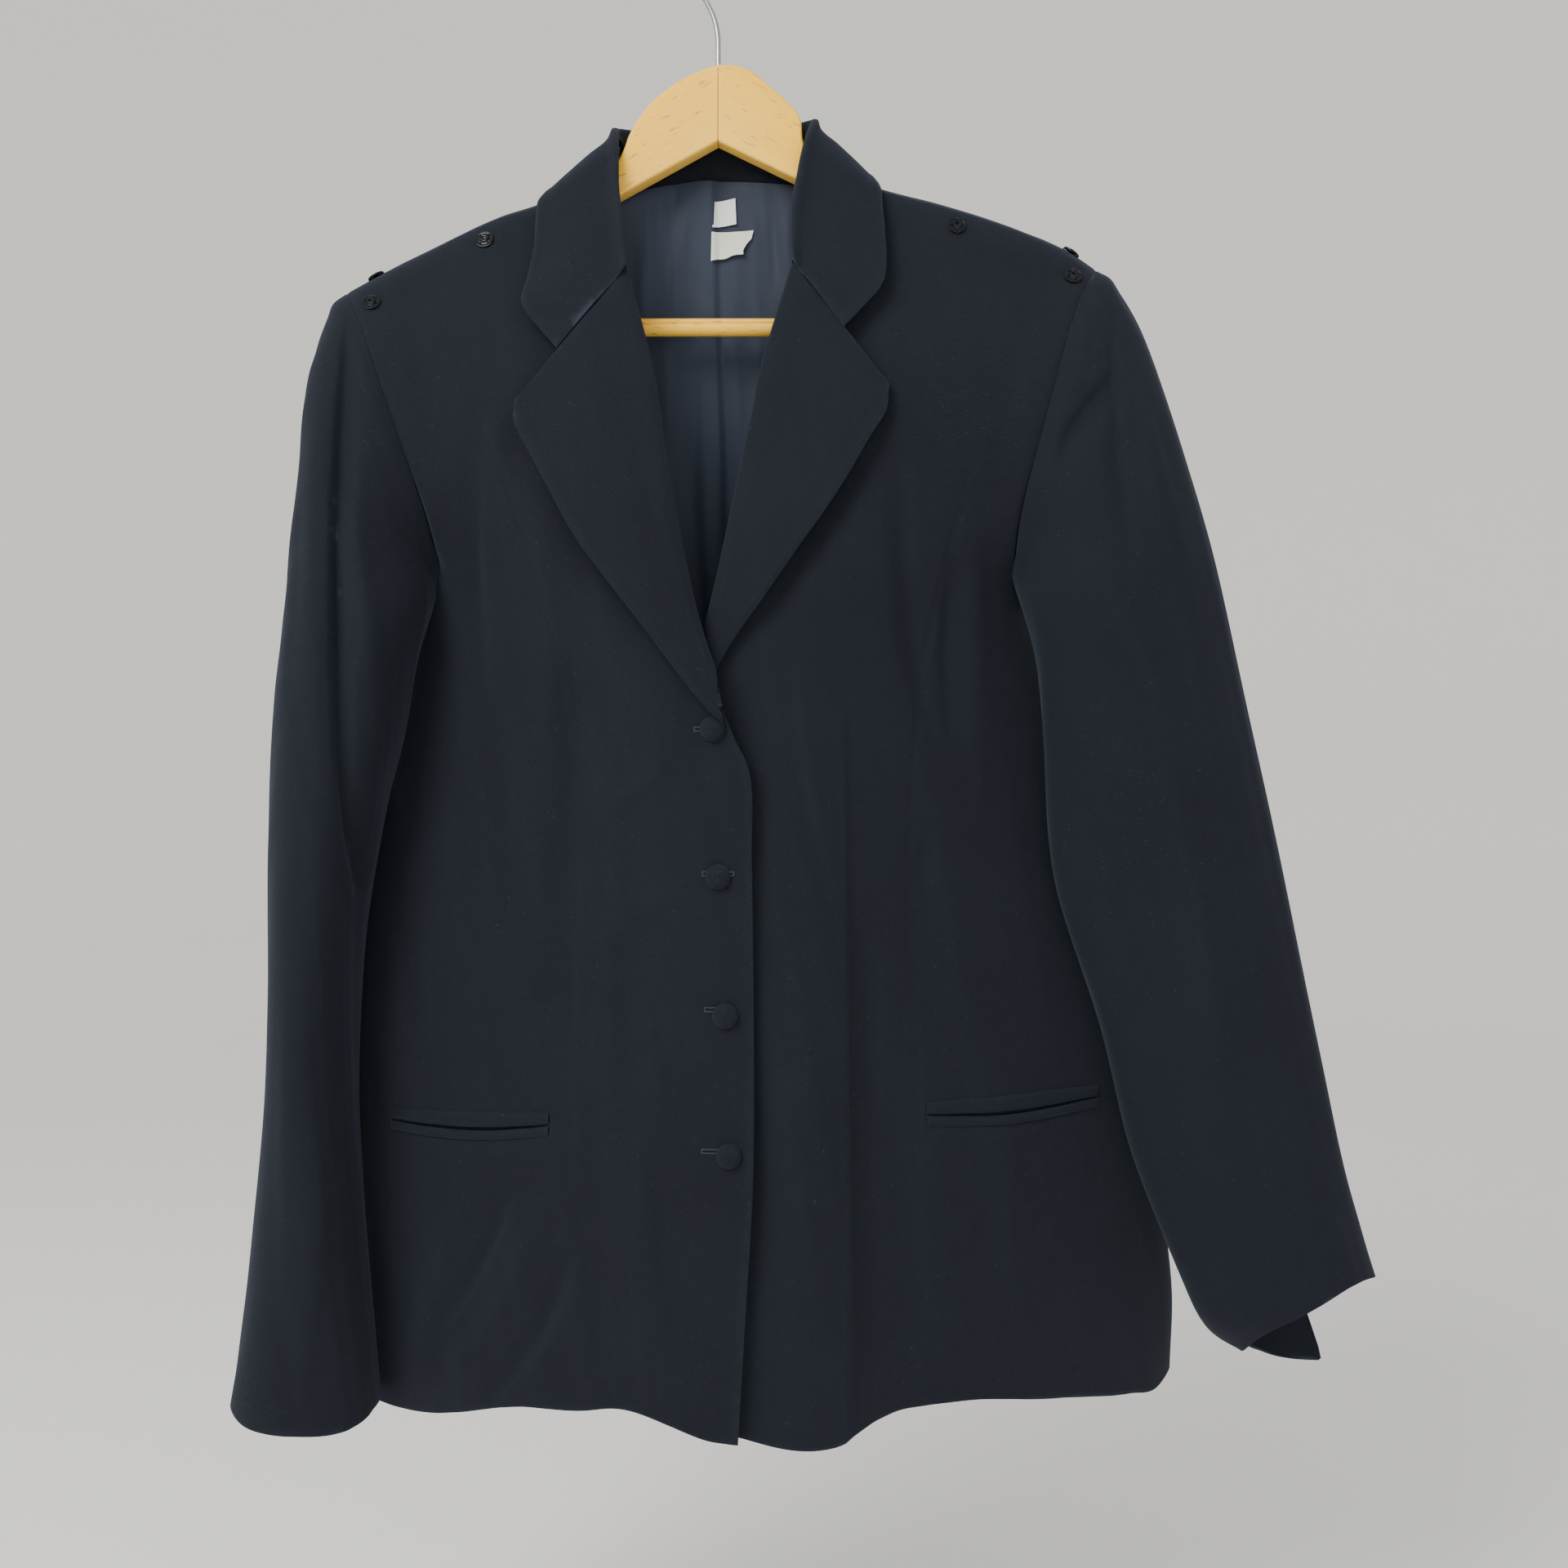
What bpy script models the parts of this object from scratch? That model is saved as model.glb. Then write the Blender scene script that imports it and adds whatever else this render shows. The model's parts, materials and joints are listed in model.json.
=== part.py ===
"""A woman's uniform jacket on a flat wooden coat hanger, in metres, +Z up.

The origin is the inside of the hook's crook, where a rail holds the hanger. The front faces -Y.
Right and left are the wearer's, so right pieces lie at -X. Tables are in millimetres, and a depth
is how far in front of the hanger's middle plane a point lies, which is -Y.
"""

import math

import bmesh
import bpy
import numpy as np
from mathutils import Vector
from mathutils.bvhtree import BVHTree

MM = 0.001
SIDES = ("right", "left")
SIGN = {"right": -1, "left": 1}

# Looking for a surface: straight back from well in front, or straight down
SEEN_FROM = 300.0
BACKWARDS, DOWNWARDS = (0, 1, 0), (0, 0, -1)

# Cloth
CLOTH_WALL = 2.0
LINING_WALL, LINING_STANDOFF = 1.0, 2.0
LABEL_WALL, LABEL_STANDOFF = 0.6, 0.7
SEAM_GAP = 0.34
RING_SQUARENESS = 2.2  # an ellipse has 2
# The open end hangs lower behind, from a corner this far across to the inner end
CUFF_CORNER, CUFF_CORNER_TURN = 0.14, 0.24
SIDE_TURN = 1.6  # how fast a panel turns in at its side: 2 is round, 1 is straight
TURN_FADE = 4 / 3  # the turn is gone at three quarters of the armhole's height
SHOULDER_PULL = 3  # how late the front's upper part bends to the shoulder seam

# Shares: up a panel from hem to shoulder, round the armhole from underarm to shoulder seam, and
# across half the back from armhole to middle
UNDERARM_SHARE = 0.6
SHOULDER_SEAM_ANGLE = math.radians(14)  # in front of the shoulder point, round the armhole
BACK_ARC_SHARE = 0.775  # where the back starts to turn over the shoulder
NECK_SHARE = 0.66
SHOULDER_BLEND = 0.2  # of the shoulder, where its ridge runs into the armhole
SHOULDER_FADE = 0.7  # above this share the back bends towards the shoulder
FOLD_FADE = 6.0  # folds start this many times faster than the panel widens

# Grid sizes, in cells
SIDE_UP = 15
FRONT_ACROSS, FRONT_ARMHOLE_UP = 12, 10
BACK_ACROSS_SHOULDER, BACK_ACROSS_NECK, BACK_ARMHOLE_UP = 8, 5, 6
BACK_UP = SIDE_UP + BACK_ARMHOLE_UP
SLEEVE_ROUND, SLEEVE_ALONG = 26, 20
LAPEL_UP = 12
LINING_MARGIN = 4  # cells of the back left bare at each side
LINING_DROP = 0.5  # how far below the back's own points the lining is laid

# Hardware
BUTTON_RADIUS, BUTTON_HEIGHT, BUTTON_STANDOFF = 6.6, 4.2, 0.8
BUTTON_EDGE = 1.2  # height of the covered rim
BUTTON_FOOT = 0.82  # share of the radius where the button meets the cloth
STUD_RADIUS, STUD_HEIGHT, STUD_STANDOFF, STUD_TOP_STANDOFF = 5.0, 1.8, 0.5, 0.8
# Shares of the stud's radius and height: its rim, then its raised middle
STUD_PROFILE = ((0.92, 0), (1, 0.28), (0.9, 0.56), (0.52, 0.61), (0.44, 1), (0.2, 1))
JET_WALL, JET_STANDOFF = 1.2, 0.5
WOOD_THICKNESS, WOOD_ROUNDING = 13.0, 3.0
BAR_RADIUS, BAR_HEIGHT = 5.0, -212.0
WIRE_RADIUS, CROOK_RADIUS = 1.45, 17.5


def table(columns, rows):
    """A short table as one array for each named column."""
    return dict(zip(columns.split(), np.array(rows, float).T))


# The ridge of the shoulders, where the cloth lies over the hanger
RIDGE = {
    "right": table("x z", [
        (-215, -194), (-198, -184.5), (-167, -169), (-129, -151), (-105, -143), (-89, -135), (-69, -124)]),
    "left": table("x z", [
        (49, -118), (62, -127), (82, -134), (123, -145), (165, -159), (192, -171), (207, -181)]),
}
# Across the ridge, from the shoulder seam over the top and down the back
RIDGE_PROFILE = table("y drop", [(14, 12), (9.5, 3.2), (0, -0.8), (-9.2, 3.2)])

# Each row is a ring of the sleeve, from the armhole to the cuff: its far and near points seen
# from the front, its middle and half depth, and how far its front and back bow up the sleeve
SLEEVE_COLUMNS = "outer_x outer_z inner_x inner_z middle_y half_depth front_bow back_bow"
SLEEVE = {
    "right": table(SLEEVE_COLUMNS, [
        (-215, -194, -163, -343, 0, 30, 5, 5),
        (-223, -204, -166, -349, 0, 34, 3, 3),
        (-230, -224, -168, -356, -1, 37, 2, 2),
        (-235, -255, -169, -366, -4, 40, 0, 0),
        (-237, -305, -171, -382, -10, 42, 0, 0),
        (-241, -360, -174, -402, -15, 43, 0, 0),
        (-247, -419, -180, -440, -20, 44, 0, 0),
        (-249.5, -490, -191, -490, -22, 44, 0, 0),
        (-249.5, -560, -202, -560, -23, 43, 0, 0),
        (-252, -640, -205, -640, -23, 41, 0, 0),
        (-259, -715, -200, -712, -24, 37, 0, 0),
        (-266, -771, -195, -771, -25, 35, -4, 0),
        (-270, -803, -191, -808, -27, 33, -9, 0)]),
    "left": table(SLEEVE_COLUMNS, [
        (207, -181, 161, -351, 0, 30, 9, 5),
        (218, -192, 164, -357, -1, 34, 6, 3.5),
        (229, -212, 166.5, -364, -2, 36, 4, 3),
        (240, -243, 168.5, -373, -6, 35, 1, 1),
        (254, -290, 170.5, -388, -11, 33, 0, 0),
        (269, -346, 172.5, -410, -15, 30, 0, 0),
        (286.5, -428, 175, -450, -19, 27, 0, 0),
        (305.5, -519, 180, -522, -23, 25, 0, 0),
        (324.5, -615, 205, -603, -25, 24, 0, 0),
        (336.5, -674, 222, -672, -26, 24, 0, 0),
        (346.5, -711, 247, -736, -26, 25, 0, -5),
        (354.5, -738, 281, -779, -26, 26, 0, -20)]),
}

# Side seams from the hem to the underarm
SIDE_SEAM = {
    "right": table("z x y", [
        (-813, -213, 22), (-700, -216, 23), (-628, -219, 24), (-555, -215, 24), (-518, -210, 25),
        (-477, -202, 26), (-442, -193, 27), (-397, -182, 26), (-368, -172, 19), (-343, -163, 0)]),
    "left": table("z x y", [
        (-809, 253, 22), (-765, 254, 22), (-732, 251, 22), (-650, 237, 22), (-600, 227, 22),
        (-550, 216, 23), (-500, 204, 24), (-450, 192, 25), (-400, 180, 24), (-372, 170, 18),
        (-351, 161, 0)]),
}

# The free edge of each front: up the buttoned edge, the roll line under the lapel and the neck.
# A share runs from the hem to the shoulder seam. The right front lies over the left one
FRONT_EDGE = {
    "right": table("share x z depth", [
        (0.00, 7, -810, 74), (0.15, 11, -745, 72), (0.30, 15, -670, 69), (0.42, 15, -585, 65),
        (0.50, 14, -510, 62), (0.54, 13, -464, 61), (0.57, 4, -443, 60.5), (0.60, -6, -418, 60),
        (0.65, -13, -394, 57.5), (0.70, -20, -369, 54.5), (0.77, -30, -320, 50.5),
        (0.84, -39, -263, 42.5), (0.89, -48, -217, 35), (0.93, -57, -188, 28),
        (0.97, -61, -152, 16.5), (1.00, -69, -127, 9.8)]),
    "left": table("share x z depth", [
        (0.00, -14, -806, 66), (0.15, -15, -745, 65), (0.30, -16, -670, 62), (0.42, -16, -585, 58),
        (0.50, -17, -510, 54), (0.57, -18, -440, 49), (0.60, -18, -415, 47), (0.63, -12, -390, 46),
        (0.67, -3, -361, 45), (0.75, 7, -314, 43), (0.83, 17, -266, 37.5), (0.89, 26, -217, 30.5),
        (0.93, 38, -183, 24), (0.97, 39, -147, 15), (1.00, 49, -121, 9.8)]),
}
CHEST_SWELL = table("share swell", [(0, 0), (0.4, 0), (0.6, 4), (0.8, 6), (1.0, 0)])

# The hem's height, and how far up the panels its waves fade out
HEM_FADE_SHARE = 0.22
HEM = {
    "right": table("x z", [
        (-213, -815), (-166, -814), (-108, -802), (-80, -801), (-55, -798), (-29, -805),
        (-9, -812), (7, -814)]),
    "left": table("x z", [
        (-14, -809), (7, -813), (27, -818), (62, -818), (75, -812), (88, -806), (126, -801),
        (181, -805), (224, -810), (242, -811), (253, -803)]),
}
BACK_HEM = table("x z", [(-213, -815), (-120, -807), (0, -803), (130, -807), (210, -811), (253, -803)])

# The back's middle line, from the hem to the neck
BACK_MIDDLE = table("share x z y", [
    (0.0, 16, -803, 34), (0.2, 13, -660, 29), (0.4, 8, -520, 27), (0.6, 3, -380, 31),
    (0.8, -3, -240, 30), (0.92, -6, -160, 25), (1.0, -6, -124, 22)])

# Largest folds: soft lines seen from the front, raised where the height is positive
FOLD_COLUMNS = "from_x from_z to_x to_z width height"
FRONT_FOLDS = {
    "right": table(FOLD_COLUMNS, [
        (-129, -259, -137, -421, 13, -4),
        (-137, -421, -123, -545, 12, -4),
        (-76, -345, -84, -530, 12, -4),
        (-39, -410, -40, -520, 14, 3),
        (-120, -685, -160, -765, 10, -3),
        (-80, -715, -128, -795, 10, -3)]),
    "left": table(FOLD_COLUMNS, [
        (40, -430, 42, -860, 22, 10),
        (88, -600, 90, -860, 13, -5),
        (95, -290, 108, -440, 11, -4),
        (122, -345, 124, -460, 10, -3),
        (108, -480, 100, -600, 11, -3),
        (150, -640, 172, -860, 20, 3)]),
}
BACK_FOLDS = table(FOLD_COLUMNS, [
    (-120, -240, -60, -330, 14, -3),
    (110, -235, 55, -330, 14, -3),
    (-70, -480, -85, -860, 20, 5),
    (75, -480, 95, -860, 20, 5),
    (5, -430, 14, -860, 14, -4),
    (-150, -400, -165, -640, 14, -4),
    (150, -400, 175, -640, 14, -4)])
SLEEVE_FOLDS = {
    "right": table(FOLD_COLUMNS, [
        (-224, -205, -226, -330, 8, -5),
        (-225, -330, -219, -480, 8, -6),
        (-219, -480, -207, -575, 8, -5)]),
    "left": table(FOLD_COLUMNS, [
        (219, -195, 222, -330, 8, -4),
        (181, -290, 212, -243, 9, -4),
        (235, -480, 262, -640, 14, 3)]),
}

# Lapels from the break above the top button to the gorge seam
LAPEL_COLUMNS = "roll_x roll_z roll_depth edge_x edge_z edge_depth"
LAPEL = {
    "right": table(LAPEL_COLUMNS, [
        (-4, -425, 64.5, -1, -437, 66),
        (-5, -409, 64, -9, -430, 68),
        (-10, -394, 62, -21, -416, 69),
        (-17, -369, 59, -38, -393, 68),
        (-27, -320, 55, -77, -342, 64),
        (-32, -290, 51, -94, -312, 60),
        (-36, -263, 47, -106, -290, 56),
        (-41, -238, 43, -113, -276, 53),
        (-54, -189, 34, -113, -265, 51)]),
    "left": table(LAPEL_COLUMNS, [
        (-13, -398, 50, -8, -414, 52),
        (-11, -382, 50, 2, -395, 53),
        (-6, -361, 50, 19, -371, 55),
        (-1, -338, 49, 37, -345, 55),
        (4, -314, 48, 52, -324, 54),
        (9, -290, 45.5, 65, -304, 52),
        (14, -266, 42.5, 77, -283, 49),
        (19, -240, 39, 86, -268, 46.5),
        (35, -185, 30, 87.5, -254, 43.5)]),
}
ROLL_RADIUS = 2.6  # of the turned fold of the lapels and the collar
ROLL_SHARE = 0.3  # the roll takes at most this share of a narrow lapel
# A lapel's cross section: the roll in radii behind the roll line and out from it, then shares of
# its width, with the lift of its middle where it is at least as wide as LAPEL_FULL
LAPEL_ROLL = table("behind out", [(1.3, 0), (0.5, 0), (0, 0.8)])
LAPEL_SHARES = (0.3, 0.55, 0.8, 1.0)
LAPEL_LIFT, LAPEL_FULL = 2.0, 40.0

# Collar halves from the gorge to the middle of the back: the leaf's free edge, the fold, and the
# foot of the stand inside it
COLLAR_COLUMNS = "leaf_x leaf_y leaf_z fold_x fold_y fold_z foot_x foot_y foot_z"
COLLAR = {
    "right": table(COLLAR_COLUMNS, [
        (-91.5, -45, -234.5, -54.2, -35, -187.5, -56, -32, -188),
        (-102, -43, -222, -55.5, -31.5, -176, -57.5, -28.5, -177),
        (-111, -40, -209, -57, -27.5, -163, -59, -24.5, -164.5),
        (-109, -34, -194, -58.5, -23.5, -150, -60.5, -20.5, -152),
        (-106, -27, -175, -60, -18.5, -137, -62, -15.5, -139),
        (-106, -20.5, -158, -60.5, -14, -124, -62, -11, -126),
        (-105.5, -14, -145, -61, -10, -112, -62.5, -7.5, -114),
        (-101, -1, -137, -62, -3, -102, -62, 0, -106),
        (-92, 17, -141, -62, 8.5, -97, -60, 8, -107),
        (-70, 27, -142, -54, 16, -95, -54, 13.5, -130),
        (-40, 32.5, -139, -32, 20.5, -94, -32, 18, -126),
        (-6, 34.5, -137, -6, 22.5, -93, -6, 20, -123)]),
    "left": table(COLLAR_COLUMNS, [
        (63.5, -41, -221.5, 35.2, -31.5, -183.5, 37, -28.5, -184.5),
        (74, -39, -210, 34.5, -28.5, -172, 36.5, -25.5, -173.5),
        (84.5, -36, -197, 34.5, -25, -160, 36.5, -22, -161.5),
        (87, -31, -183, 35, -21.5, -147, 37, -18.5, -149),
        (86.5, -25.5, -166, 37.5, -18, -134, 39.5, -15, -136),
        (85.5, -20, -151, 40, -14, -120, 41.5, -11, -122),
        (85, -14, -138.5, 43, -10, -107, 44.5, -7.5, -109),
        (81.5, -1, -129.5, 46, -3, -97, 46, 0, -101),
        (73, 17, -134, 46, 8.5, -92, 44, 8, -102),
        (54, 27, -139, 38, 16, -91, 38, 13.5, -125),
        (26, 32.5, -138, 18, 20.5, -92, 18, 18, -124),
        (-6, 34.5, -137, -6, 22.5, -93, -6, 20, -123)]),
}

# The collar's cross section: shares up its leaf with their fullness, then the fold
LEAF_SHARES = (0, 0.3, 0.6, 0.85)
LEAF_FULLNESS = 1.5
FOLD_FRONT_DOWN, FOLD_BACK_DOWN = 1.5, 2.4
FOLD_FRONT_OUT = 0.9  # in roll radii

# Pockets: the mouth's two ends, from the side seam inwards, with the height of its two jets
POCKET = {"right": ((-187, -655.5), (-95, -651.5)), "left": ((206, -643.5), (108, -647.5))}
JET_HEIGHT = {"upper": 6.2, "lower": 5.0}
MOUTH_HALF_GAP = 0.9
MOUTH_DIP = {"upper": 1.0, "lower": 2.4}  # each jet's sag in its middle

BUTTON_AT = ((-7, -440), (-4, -518), (0, -591), (2, -664))
# Press studs seen from the front, and those seen from above the ridge
STUD_FRONT_AT = {
    "right_inner": (-135, -167), "right_outer": (-197, -203),
    "left_inner": (127, -159), "left_outer": (191, -188)}
STUD_TOP_AT = {"right_top": (-198, -1), "left_top": (192, -1)}

# Labels in the neck: two ends of the top edge, the height, and how far a torn corner is cut back
LABEL = {
    "upper": {"from": (-9, -140), "to": (3, -137.5), "height": 15, "cut": 0},
    "lower": {"from": (-10, -158), "to": (13.5, -156), "height": 17, "cut": 9}}
CUT_SLANT = 0.6  # sideways, for each millimetre that the corner is cut back

# Hanger arms from the mitre to the tip: the upper edge, and the straight lower edge
MITRE_X = -6.0
ARM_TOP = {
    "right": table("x z", [
        (-6.2, -66), (-17, -70), (-29, -76), (-43, -87), (-51, -97), (-56, -106), (-58.5, -113),
        (-64, -123), (-71, -129), (-89, -139.4), (-129, -155.2), (-167, -172.9), (-198, -188.6),
        (-206, -193.6)]),
    "left": table("x z", [
        (-5.8, -66), (3, -67), (18, -76), (30, -83.5), (37, -90), (40.5, -97), (41.5, -108),
        (45, -118), (52, -124), (82, -137.7), (123, -149), (165, -162.9), (190, -174.3), (199, -180)]),
}
ARM_FOOT_AT_MITRE = -109.0
ARM_SLOPE = {"right": 0.556, "left": 0.485}

# The hook's shank from the head to its kink, then the crook in degrees round its middle
HOOK_SHANK = table("x z", [(-6, -65.6), (-6, -55), (-6.6, -45), (-9, -36)])
CROOK_START, CROOK_END, CROOK_STEPS = 222, -38, 24
WIRE_STEPS, ROD_STEPS = 10, 16


def along(keys, values, at):
    """The smooth curve through values at rising keys, read at the places given."""
    keys, values, at = np.asarray(keys, float), np.asarray(values, float), np.asarray(at, float)
    slopes = np.gradient(values, keys)
    i = np.clip(np.searchsorted(keys, at, side="right") - 1, 0, len(keys) - 2)
    step = keys[i + 1] - keys[i]
    t = np.clip((at - keys[i]) / step, 0, 1)
    near = (1 + 2 * t) * (1 - t) ** 2 * values[i] + t**2 * (3 - 2 * t) * values[i + 1]
    return near + step * t * (1 - t) * ((1 - t) * slopes[i] - t * slopes[i + 1])


def read(rows, key, name, at):
    """A named column of a table, read along its key column."""
    return along(rows[key], rows[name], at)


def fold_heights(x, z, folds):
    """How far the cloth is raised at each place by soft folds along straight lines."""
    raised = np.zeros(np.broadcast(x, z).shape)
    for x0, z0, x1, z1, width, height in zip(*(folds[name] for name in FOLD_COLUMNS.split())):
        length = math.hypot(x1 - x0, z1 - z0)
        share = np.clip(((x - x0) * (x1 - x0) + (z - z0) * (z1 - z0)) / length**2, 0, 1)
        away = np.hypot(x - x0 - share * (x1 - x0), z - z0 - share * (z1 - z0))
        fade = np.sin(np.pi * (0.08 + 0.84 * share))
        raised += height * fade * np.exp(-((away / width) ** 2))
    return raised


def unit(vectors):
    return vectors / np.linalg.norm(vectors, axis=-1, keepdims=True)


# Across the shoulder seam, from the back to the front, and the way the cloth looks there
SHOULDER_ACROSS = unit(np.array([0.0, -1.0, -1.0]))
SHOULDER_FACING = unit(np.array([0.0, -1.0, 1.0]))


def material(name, colour, roughness, metallic=0.0):
    made = bpy.data.materials.new(name)
    made.use_nodes = True
    shader = made.node_tree.nodes["Principled BSDF"]
    shader.inputs["Base Color"].default_value = (*colour, 1)
    shader.inputs["Roughness"].default_value = roughness
    shader.inputs["Metallic"].default_value = metallic
    return made


def add_object(name, vertices, faces, finish):
    """One mesh object from points in millimetres, smooth but for its sharp edges."""
    mesh = bpy.data.meshes.new(name)
    mesh.from_pydata([tuple(float(c) * MM for c in v) for v in vertices], [], faces)
    mesh.validate()
    mesh.update()
    mesh.shade_smooth()
    mesh.set_sharp_from_angle(angle=math.radians(50))
    mesh.materials.append(finish)
    made = bpy.data.objects.new(name, mesh)
    bpy.context.scene.collection.objects.link(made)
    return made


def grid_normals(points, closed):
    """Unit normals of a grid of points, u by v; a closed grid joins its last u to its first."""
    if closed:
        du = np.roll(points, -1, axis=0) - np.roll(points, 1, axis=0)
    else:
        du = np.gradient(points, axis=0)
    dv = np.gradient(points, axis=1)
    return unit(np.cross(du, dv))


def cloth(name, points, wall, finish, closed=False, cells=None, facing=(), square=(), inward=1):
    """A wall of cloth: an outer grid of points, the same grid moved in, and a rim along each
    free edge. Facing gives borders the way they look, and square keeps borders' rims square to
    a direction, so that two pieces meet with an even gap."""
    normals = grid_normals(points, closed) * inward
    for border, direction in facing:
        normals[border] = direction
    for border, across in square:
        kept = normals[border]
        normals[border] = unit(kept - across * (kept @ across)[..., None])
    inner = points - normals * wall
    nu, nv = points.shape[:2]
    inside = nu * nv
    if cells is None:
        cells = np.ones((nu if closed else nu - 1, nv - 1), bool)
    quads = []
    for u, v in np.argwhere(cells):
        w = (u + 1) % nu
        corners = [u * nv + v, w * nv + v, w * nv + v + 1, u * nv + v + 1]
        quads.append(corners if inward > 0 else corners[::-1])
    edges = {(q[i], q[(i + 1) % 4]) for q in quads for i in range(4)}
    rims = [(b, a, a + inside, b + inside) for a, b in edges if (b, a) not in edges]
    linings = [[c + inside for c in reversed(q)] for q in quads]
    faces = quads + linings + sorted(rims)
    used = sorted({c for face in faces for c in face})
    place = {c: i for i, c in enumerate(used)}
    both = np.concatenate([points.reshape(-1, 3), inner.reshape(-1, 3)])
    return add_object(name, both[used], [[place[c] for c in face] for face in faces], finish)


def sleeve_ring(side, station, angles):
    """A ring of a sleeve. Angle 0 is its outer end, a quarter turn its front, half its inner end."""
    rows = SLEEVE[side]
    stations = np.arange(len(rows["outer_x"]))
    row = {name: along(stations, rows[name], station) for name in SLEEVE_COLUMNS.split()}
    middle_x = (row["outer_x"] + row["inner_x"]) / 2
    middle_z = (row["outer_z"] + row["inner_z"]) / 2
    reach_x, reach_z = row["outer_x"] - middle_x, row["outer_z"] - middle_z
    length = np.hypot(reach_x, reach_z)
    up_x, up_z = -SIGN[side] * reach_z / length, SIGN[side] * reach_x / length
    power = 2 / RING_SQUARENESS
    across = np.sign(np.cos(angles)) * np.abs(np.cos(angles)) ** power
    forward = np.sign(np.sin(angles)) * np.abs(np.sin(angles)) ** power
    bow = np.where(forward > 0, row["front_bow"], row["back_bow"]) * (1 - (1 - forward**2) ** 2)
    low = np.clip((CUFF_CORNER - across) / CUFF_CORNER_TURN, 0, 1)
    low = low * low * (3 - 2 * low) * (1 + across)
    bow = np.where((forward < 0) & (bow < 0), bow * low, bow)
    return np.stack([
        middle_x + reach_x * across + up_x * bow,
        row["middle_y"] - row["half_depth"] * forward,
        middle_z + reach_z * across + up_z * bow], axis=-1)


def armhole_across(side):
    """The unit direction across the armhole seam, from the body into the sleeve."""
    rows = SLEEVE[side]
    reach_x = rows["outer_x"][0] - rows["inner_x"][0]
    reach_z = rows["outer_z"][0] - rows["inner_z"][0]
    return unit(np.array([SIGN[side] * reach_z, 0, -SIGN[side] * reach_x]))


def panel_border(side, facing, arc):
    """A panel's outer border: up the side seam, then round the armhole by shares of its arc.
    Facing is 1 for a front panel and -1 for the back, which goes over the shoulder point."""
    seam = SIDE_SEAM[side]
    z = np.linspace(seam["z"][0], seam["z"][-1], SIDE_UP + 1)
    x, y = read(seam, "z", "x", z), read(seam, "z", "y", z) - facing * SEAM_GAP / 2
    line = np.stack([x, y, z], axis=-1)
    line[-1] -= armhole_across(side) * SEAM_GAP / 2
    angles = facing * (math.pi + (facing * SHOULDER_SEAM_ANGLE - math.pi) * arc)
    return np.concatenate([line, sleeve_ring(side, 0, angles) - armhole_across(side) * SEAM_GAP / 2])


def panel_borders(side, column, count):
    """How a panel's rims look along its side seam, and stay square to the armhole above it."""
    facing = [(np.s_[column, :SIDE_UP + 1], np.array([SIGN[side], 0.0, 0.0]))]
    return facing, [(np.s_[column, SIDE_UP + 1:count], armhole_across(side))]


def shoulder_row(side, row, edge, share):
    """A row of points over the shoulder, from a point of the armhole to the neck."""
    ridge, y, drop = RIDGE[side], RIDGE_PROFILE["y"][row], RIDGE_PROFILE["drop"][row]
    order = np.argsort(ridge["x"])
    neck_x = ridge["x"][-1] if side == "right" else ridge["x"][0]
    own = 1 - np.clip(share / SHOULDER_BLEND, 0, 1)
    x = edge[0] + (neck_x - edge[0]) * share
    top = along(ridge["x"][order], ridge["z"][order], x)
    return np.stack([x, y + own * (edge[1] - y), top - drop + own * (edge[2] - top[0] + drop)], axis=-1)


def shoulder_shares():
    return 1 - np.cos(np.linspace(0, 1, BACK_ACROSS_SHOULDER + 1) * math.pi / 2)


def front_surface(side):
    """Outer points of a front panel, from its side to its free edge, hem to shoulder."""
    across = 1 - np.cos(np.linspace(0, 1, FRONT_ACROSS + 1) * math.pi / 2)
    arc = np.linspace(0, 1, FRONT_ARMHOLE_UP + 1)[1:]
    shares = np.concatenate([
        np.linspace(0, UNDERARM_SHARE, SIDE_UP + 1), UNDERARM_SHARE + (1 - UNDERARM_SHARE) * arc])
    above = np.clip((shares - UNDERARM_SHARE) / (1 - UNDERARM_SHARE), 0, 1)
    outer = panel_border(side, 1, arc)
    edge = FRONT_EDGE[side]
    free = np.stack([
        read(edge, "share", "x", shares), -read(edge, "share", "depth", shares),
        read(edge, "share", "z", shares)], axis=-1)
    s = across[:, None]
    x = outer[:, 0] + (free[:, 0] - outer[:, 0]) * s
    z = outer[:, 2] + (free[:, 2] - outer[:, 2]) * s
    turn = SIDE_TURN - (SIDE_TURN - 1) * np.clip(above * TURN_FADE, 0, 1)
    fullness = (1 - (1 - s) ** turn) ** (1 / turn)
    y = outer[:, 1] + (free[:, 1] - outer[:, 1]) * fullness
    y -= read(CHEST_SWELL, "share", "swell", shares) * np.sin(np.pi * s)
    hem_share = np.clip(1 - shares / HEM_FADE_SHARE, 0, 1) ** 2
    z += hem_share * (along(HEM[side]["x"], HEM[side]["z"], x) - z[:, :1])
    y -= fold_heights(x, z, FRONT_FOLDS[side]) * np.clip(s * FOLD_FADE, 0, 1)
    points = np.stack([x, y, z], axis=-1)
    seam = shoulder_row(side, -1, outer[-1], shoulder_shares()) + SHOULDER_ACROSS * SEAM_GAP
    between = (seam[1:] + seam[:-1])[BACK_ACROSS_SHOULDER - FRONT_ACROSS:] / 2
    top = np.concatenate([seam, between])
    top = top[np.argsort(np.abs(top[:, 0] - seam[0, 0]))]
    return points + (above**SHOULDER_PULL)[:, None] * (top - points[:, -1])[:, None]


def build_front(side, finish):
    points = front_surface(side)
    facing, square = panel_borders(side, 0, points.shape[1])
    facing.append((np.s_[:, -1], SHOULDER_FACING))
    return cloth(
        f"front_{side}", points, CLOTH_WALL, finish, facing=facing, square=square, inward=-SIGN[side])


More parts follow.
